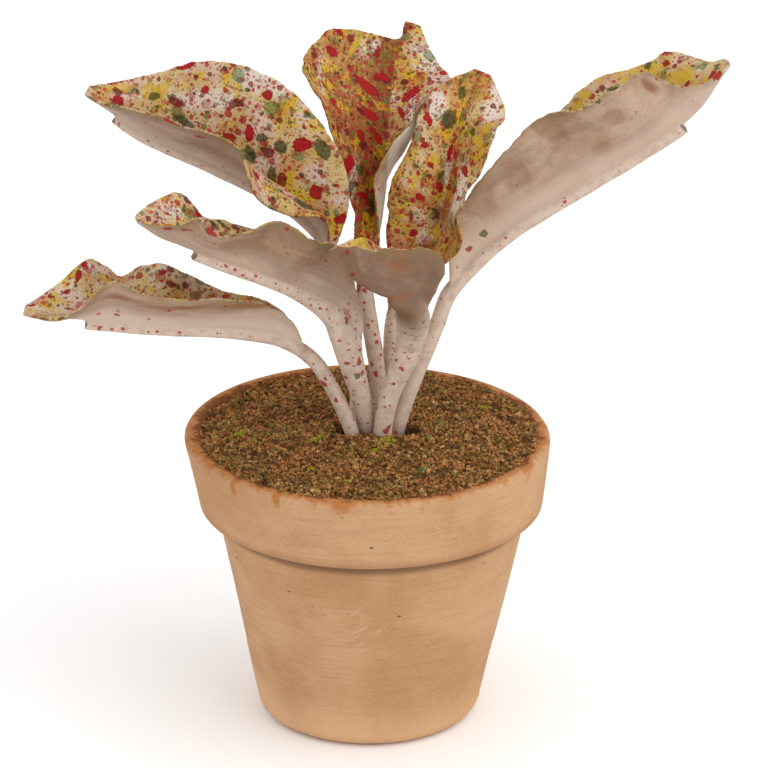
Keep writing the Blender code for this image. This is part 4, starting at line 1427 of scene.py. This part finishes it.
def leaf_material(spatter):
    made, tree, shader = new_material("painted_leaf_finish")
    place = millimetre_place(tree)
    along, across = value_of(tree, "along"), value_of(tree, "across")
    flat = node(tree, "CombineXYZ", {0: along, 1: across, 2: 0.0}).outputs[0]
    side = value_of(tree, "paint_side")
    stalk = value_of(tree, "stalk")
    rag = rag_of(tree, place)
    mottle = ramped(tree, grain(tree, place, 3.0, 4.0, 0.7), 0.45, 0.72, 0.0, 0.5)
    top, thick = spattered_top(tree, spatter, place, flat)
    for name, hue, dark, strength in (
        ("yellow", YELLOW, OCHRE, 0.7),
        ("sea_green", SEA_GREEN, OLIVE, 0.6),
        ("green", DARK_GREEN, OLIVE, 0.8),
        ("maroon", MAROON, CRIMSON, 0.85),
        ("crimson", CRIMSON, MAROON, 0.97),
    ):
        top = splashed(tree, top, name, hue, dark, strength, rag, mottle)
    edge = total(tree, value_of(tree, "in_from_edge"), rag)
    top = washed(tree, top, DRY_EDGE, edge, 0.14, -0.06, 0.6)
    under = plain_underside(tree, spatter, place, flat)
    shade = ramped(tree, value_of(tree, "splash_shade"), -0.2, 0.4, 0.0, 0.85)
    under = mixed(tree, shade, under, CHESTNUT_SHADE)
    # Pale splashes on an underside: pale paint, and on leaf_top's rolled strip painted light that lifts it
    # out of shade.
    under = washed(tree, under, PALE, value_of(tree, "splash_pale"), -0.3, 0.3, 0.95)
    under = mixed(tree, stalk, under, spotted_stalk(tree, spatter, place))
    for name, hue, dark in (("green", OLIVE, DARK_GREEN), ("crimson", CRIMSON, MAROON)):
        under = splashed(tree, under, name, hue, dark, 0.85, rag, mottle)
    upper = product(tree, ramped(tree, side, -0.1, 0.4), less(tree, 1.0, stalk))
    tree.links.new(mixed(tree, upper, under, top), shader.inputs["Base Color"])
    tree.links.new(ramped(tree, rag, -0.2, 0.2, 0.5, 0.7), shader.inputs["Roughness"])
    shader.inputs["Specular IOR Level"].default_value = 0.18
    fine = grain(tree, place, 4.5, 4.0, 0.65)
    relief = total(tree, product(tree, thick, upper), product(tree, fine, 1.6))
    bump = node(tree, "Bump", {"Height": relief, "Strength": 0.6, "Distance": 0.035 * MM})
    tree.links.new(bump.outputs[0], shader.inputs["Normal"])
    return made


def terracotta_material():
    made, tree, shader = new_material("terracotta_finish")
    place = millimetre_place(tree)
    height = node(tree, "SeparateXYZ", {0: place}).outputs[2]
    level = scaled(tree, place, (1.0, 1.0, 0.0))
    radius = node(tree, "VectorMath", {0: level}, operation="LENGTH").outputs["Value"]
    clouds = grain(tree, place, 0.12, 3.0, 0.6)
    lines = grain(tree, scaled(tree, place, (0.25, 0.25, 4.5)), 1.0, 4.0, 0.6)
    fine = grain(tree, scaled(tree, place, (1.0, 1.0, 1.8)), 3.2, 5.0, 0.72)
    clay = washed(tree, CLAY_PALE, CLAY, clouds, 0.36, 0.64)
    clay = washed(tree, clay, CLAY_DARK, lines, 0.45, 0.72, 0.2)
    clay = washed(tree, clay, CLAY_BLOOM, fine, 0.52, 0.72, 0.4)
    clay = washed(tree, clay, CLAY_DARK, fine, 0.48, 0.3, 0.35)
    low = total(tree, height, product(tree, clouds, 3.0))
    # Paler towards the foot: painted light, standing in for light thrown up from the floor.
    clay = washed(tree, clay, CLAY_PAINTED_FOOT_LIGHT, low, 7.0, 1.5, 0.6)
    clay = washed(tree, clay, STAIN, low, 2.0, 0.8, 0.2)
    band_bottom = POT_HEIGHT - RIM_HEIGHT
    wavy = total(tree, height, product(tree, fine, 0.3))
    under_band = ramped(tree, wavy, band_bottom - BAND_SHADOW, band_bottom - 0.4 * BAND_SHADOW, 0.0, 0.65)
    neck = ramped(tree, radius, RIM_BOTTOM_RADIUS - 0.3, RIM_BOTTOM_RADIUS - 0.6)
    clay = mixed(tree, product(tree, under_band, neck), clay, CLAY_SHADE)
    # Darker where the band's lower edge turns under: painted shade.
    band_edge_painted_shade = ramped(tree, height, band_bottom + 1.1, band_bottom + 0.1, 0.0, 0.4)
    on_band = ramped(tree, radius, RIM_BOTTOM_RADIUS - 0.6, RIM_BOTTOM_RADIUS - 0.3)
    clay = mixed(tree, product(tree, band_edge_painted_shade, on_band), clay, CLAY_DARK)
    from_soil = less(tree, radius, height)
    from_soil = total(tree, from_soil, POT_HEIGHT - inner_radius(POT_HEIGHT))
    wander = grain(tree, scaled(tree, place, (1.0, 1.0, 0.3)), 0.42, 3.0, 0.6)
    rag = less(tree, grain(tree, scaled(tree, place, (1.0, 1.0, 1.3)), 2.0, 4.0, 0.7), 0.5)
    reach = ramped(tree, wander, 0.42, 0.72, 0.75, 2.2)
    soaked = less(tree, total(tree, from_soil, product(tree, rag, 2.2)), reach)
    clay = washed(tree, clay, STAIN, soaked, 0.75, -0.6, 0.8)
    wet = total(tree, soaked, product(tree, reach, 0.62))
    clay = washed(tree, clay, WET_STAIN, wet, 0.1, -0.2, 0.8)
    pits = node(tree, "TexVoronoi", {"Vector": scaled(tree, place, (1.0, 1.0, 1.6)), "Scale": 0.45})
    drawn = node(tree, "SeparateColor", {0: pits.outputs["Color"]}).outputs
    pit_there = maths(tree, "LESS_THAN", drawn[0], 0.3)
    pit = product(tree, ramped(tree, pits.outputs["Distance"], 0.11, 0.04), pit_there)
    clay = mixed(tree, product(tree, pit, 0.8), clay, CLAY_SHADE)
    near = node(tree, "VectorMath", {0: place, 1: SCRATCHES_AT}, operation="DISTANCE").outputs["Value"]
    turned = node(tree, "Mapping", {0: place, 2: (0.0, SCRATCH_TURN, 0.0)}).outputs[0]
    strokes = grain(tree, scaled(tree, turned, (0.5, 1.0, 4.5)), 1.0, 3.0, 0.6)
    scratch = product(tree, ramped(tree, strokes, 0.56, 0.64), ramped(tree, near, 3.4, 1.2))
    clay = mixed(tree, product(tree, scratch, 0.65), clay, CLAY_BLOOM)
    tree.links.new(clay, shader.inputs["Base Color"])
    shader.inputs["Roughness"].default_value = 0.88
    shader.inputs["Specular IOR Level"].default_value = 0.25
    relief = total(tree, product(tree, lines, 0.7), fine)
    relief = less(tree, relief, total(tree, pit, product(tree, scratch, 0.4)))
    bump = node(tree, "Bump", {"Height": relief, "Strength": 0.45, "Distance": 0.055 * MM})
    tree.links.new(bump.outputs[0], shader.inputs["Normal"])
    return made


def soil_colours(tree, value, stops):
    """A colour ramp through (place, colour) stops."""
    ramp = tree.nodes.new("ShaderNodeValToRGB")
    tree.links.new(value, ramp.inputs[0])
    elements = ramp.color_ramp.elements
    while len(elements) < len(stops):
        elements.new(0.5)
    for element, (at, colour) in zip(elements, stops):
        element.position = at
        element.color = colour
    return ramp.outputs[0]


def rough_shader(tree, shader, colour, place, distance):
    """A dull, rough finish with a fine grain."""
    tree.links.new(colour, shader.inputs["Base Color"])
    shader.inputs["Roughness"].default_value = 0.95
    shader.inputs["Specular IOR Level"].default_value = 0.15
    relief = grain(tree, place, 7.0, 3.0)
    bump = node(tree, "Bump", {"Height": relief, "Strength": 0.7, "Distance": distance * MM})
    tree.links.new(bump.outputs[0], shader.inputs["Normal"])


def bed_material():
    made, tree, shader = new_material("soil_bed_finish")
    place = millimetre_place(tree)
    colour = soil_colours(tree, grain(tree, place, 3.4, 4.0, 0.7), BED_STOPS)
    rough_shader(tree, shader, colour, place, BED_RELIEF)
    return made


def crumb_material():
    made, tree, shader = new_material("turf_crumb_finish")
    place = millimetre_place(tree)
    colour = soil_colours(tree, value_of(tree, "tone"), CRUMB_STOPS)
    colour = washed(tree, colour, TURF_GREEN, value_of(tree, "patch"), 0.0, 0.6, 0.35)
    # Darker in the hollows round the stalks, as painted shade, and in patches at random.
    colour = washed(tree, colour, TURF_SHADE, value_of(tree, "depth"), 0.0, 0.7, 0.85)
    rough_shader(tree, shader, colour, place, CRUMB_RELIEF)
    return made


def fleck_material():
    made, tree, shader = new_material("turf_fleck_finish")
    place = millimetre_place(tree)
    colour = soil_colours(tree, value_of(tree, "tone"), FLECK_STOPS)
    rough_shader(tree, shader, colour, place, CRUMB_RELIEF)
    return made


# Surroundings

def floor():
    bm = bmesh.new()
    bmesh.ops.create_grid(bm, x_segments=1, y_segments=1, size=3.0)
    made, _, shader = new_material("floor_finish")
    shader.inputs["Base Color"].default_value = (0.98, 0.98, 0.98, 1.0)
    shader.inputs["Roughness"].default_value = 0.9
    obj = new_object("floor", mesh_from(bm, "floor", smooth=False), made)


def softbox(name, place, size, energy, colour):
    """A square lamp that looks at the middle of the plant."""
    lamp = bpy.data.lights.new(name, "AREA")
    lamp.size = size * MM
    lamp.energy = energy
    lamp.color = colour
    obj = bpy.data.objects.new(name, lamp)
    bpy.context.scene.collection.objects.link(obj)
    obj.location = Vector(place) * MM
    obj.rotation_euler = (VIEW_CENTRE * MM - obj.location).to_track_quat("-Z", "Y").to_euler()


def lighting():
    world = bpy.data.worlds.new("studio")
    world.use_nodes = True
    world.node_tree.nodes["Background"].inputs[0].default_value = (1.0, 1.0, 1.0, 1.0)
    world.node_tree.nodes["Background"].inputs[1].default_value = 1.0
    bpy.context.scene.world = world
    softbox("key_light", (330, -230, 400), 600, 1.25, (1.0, 0.985, 0.965))
    softbox("fill_light", (-320, -260, 200), 360, 0.1, (0.96, 0.98, 1.0))
    bpy.context.scene.view_settings.view_transform = "Standard"


def camera():
    turn = radians(VIEW_ELEVATION)
    lens = bpy.data.cameras.new("camera")
    lens.sensor_width = SENSOR_WIDTH
    lens.lens = SENSOR_WIDTH * VIEW_DISTANCE / (PICTURE_SIDE * PICTURE_SCALE)
    lens.clip_start = 0.01
    lens.clip_end = 20.0
    obj = bpy.data.objects.new("camera", lens)
    bpy.context.scene.collection.objects.link(obj)
    obj.location = (VIEW_CENTRE + Vector((0.0, -cos(turn), sin(turn))) * VIEW_DISTANCE) * MM
    obj.rotation_euler = (pi / 2 - turn, 0.0, 0.0)
    bpy.context.scene.camera = obj


def main():
    camera()
    lighting()
    floor()
    pot_piece(terracotta_material())
    soil_piece(bed_material())
    turf = crumb_material()
    for number, (name, size) in enumerate(CRUMB_RADII.items()):
        crumbs_piece(name, size, CRUMB_SEED + number, turf)
    flecks_piece(fleck_material())
    paint = leaf_material(spatter_group())
    for number, (name, leaf) in enumerate(LEAVES.items()):
        leaf_piece(name, leaf, LEAF_SEED_STEP * number, paint)


main()
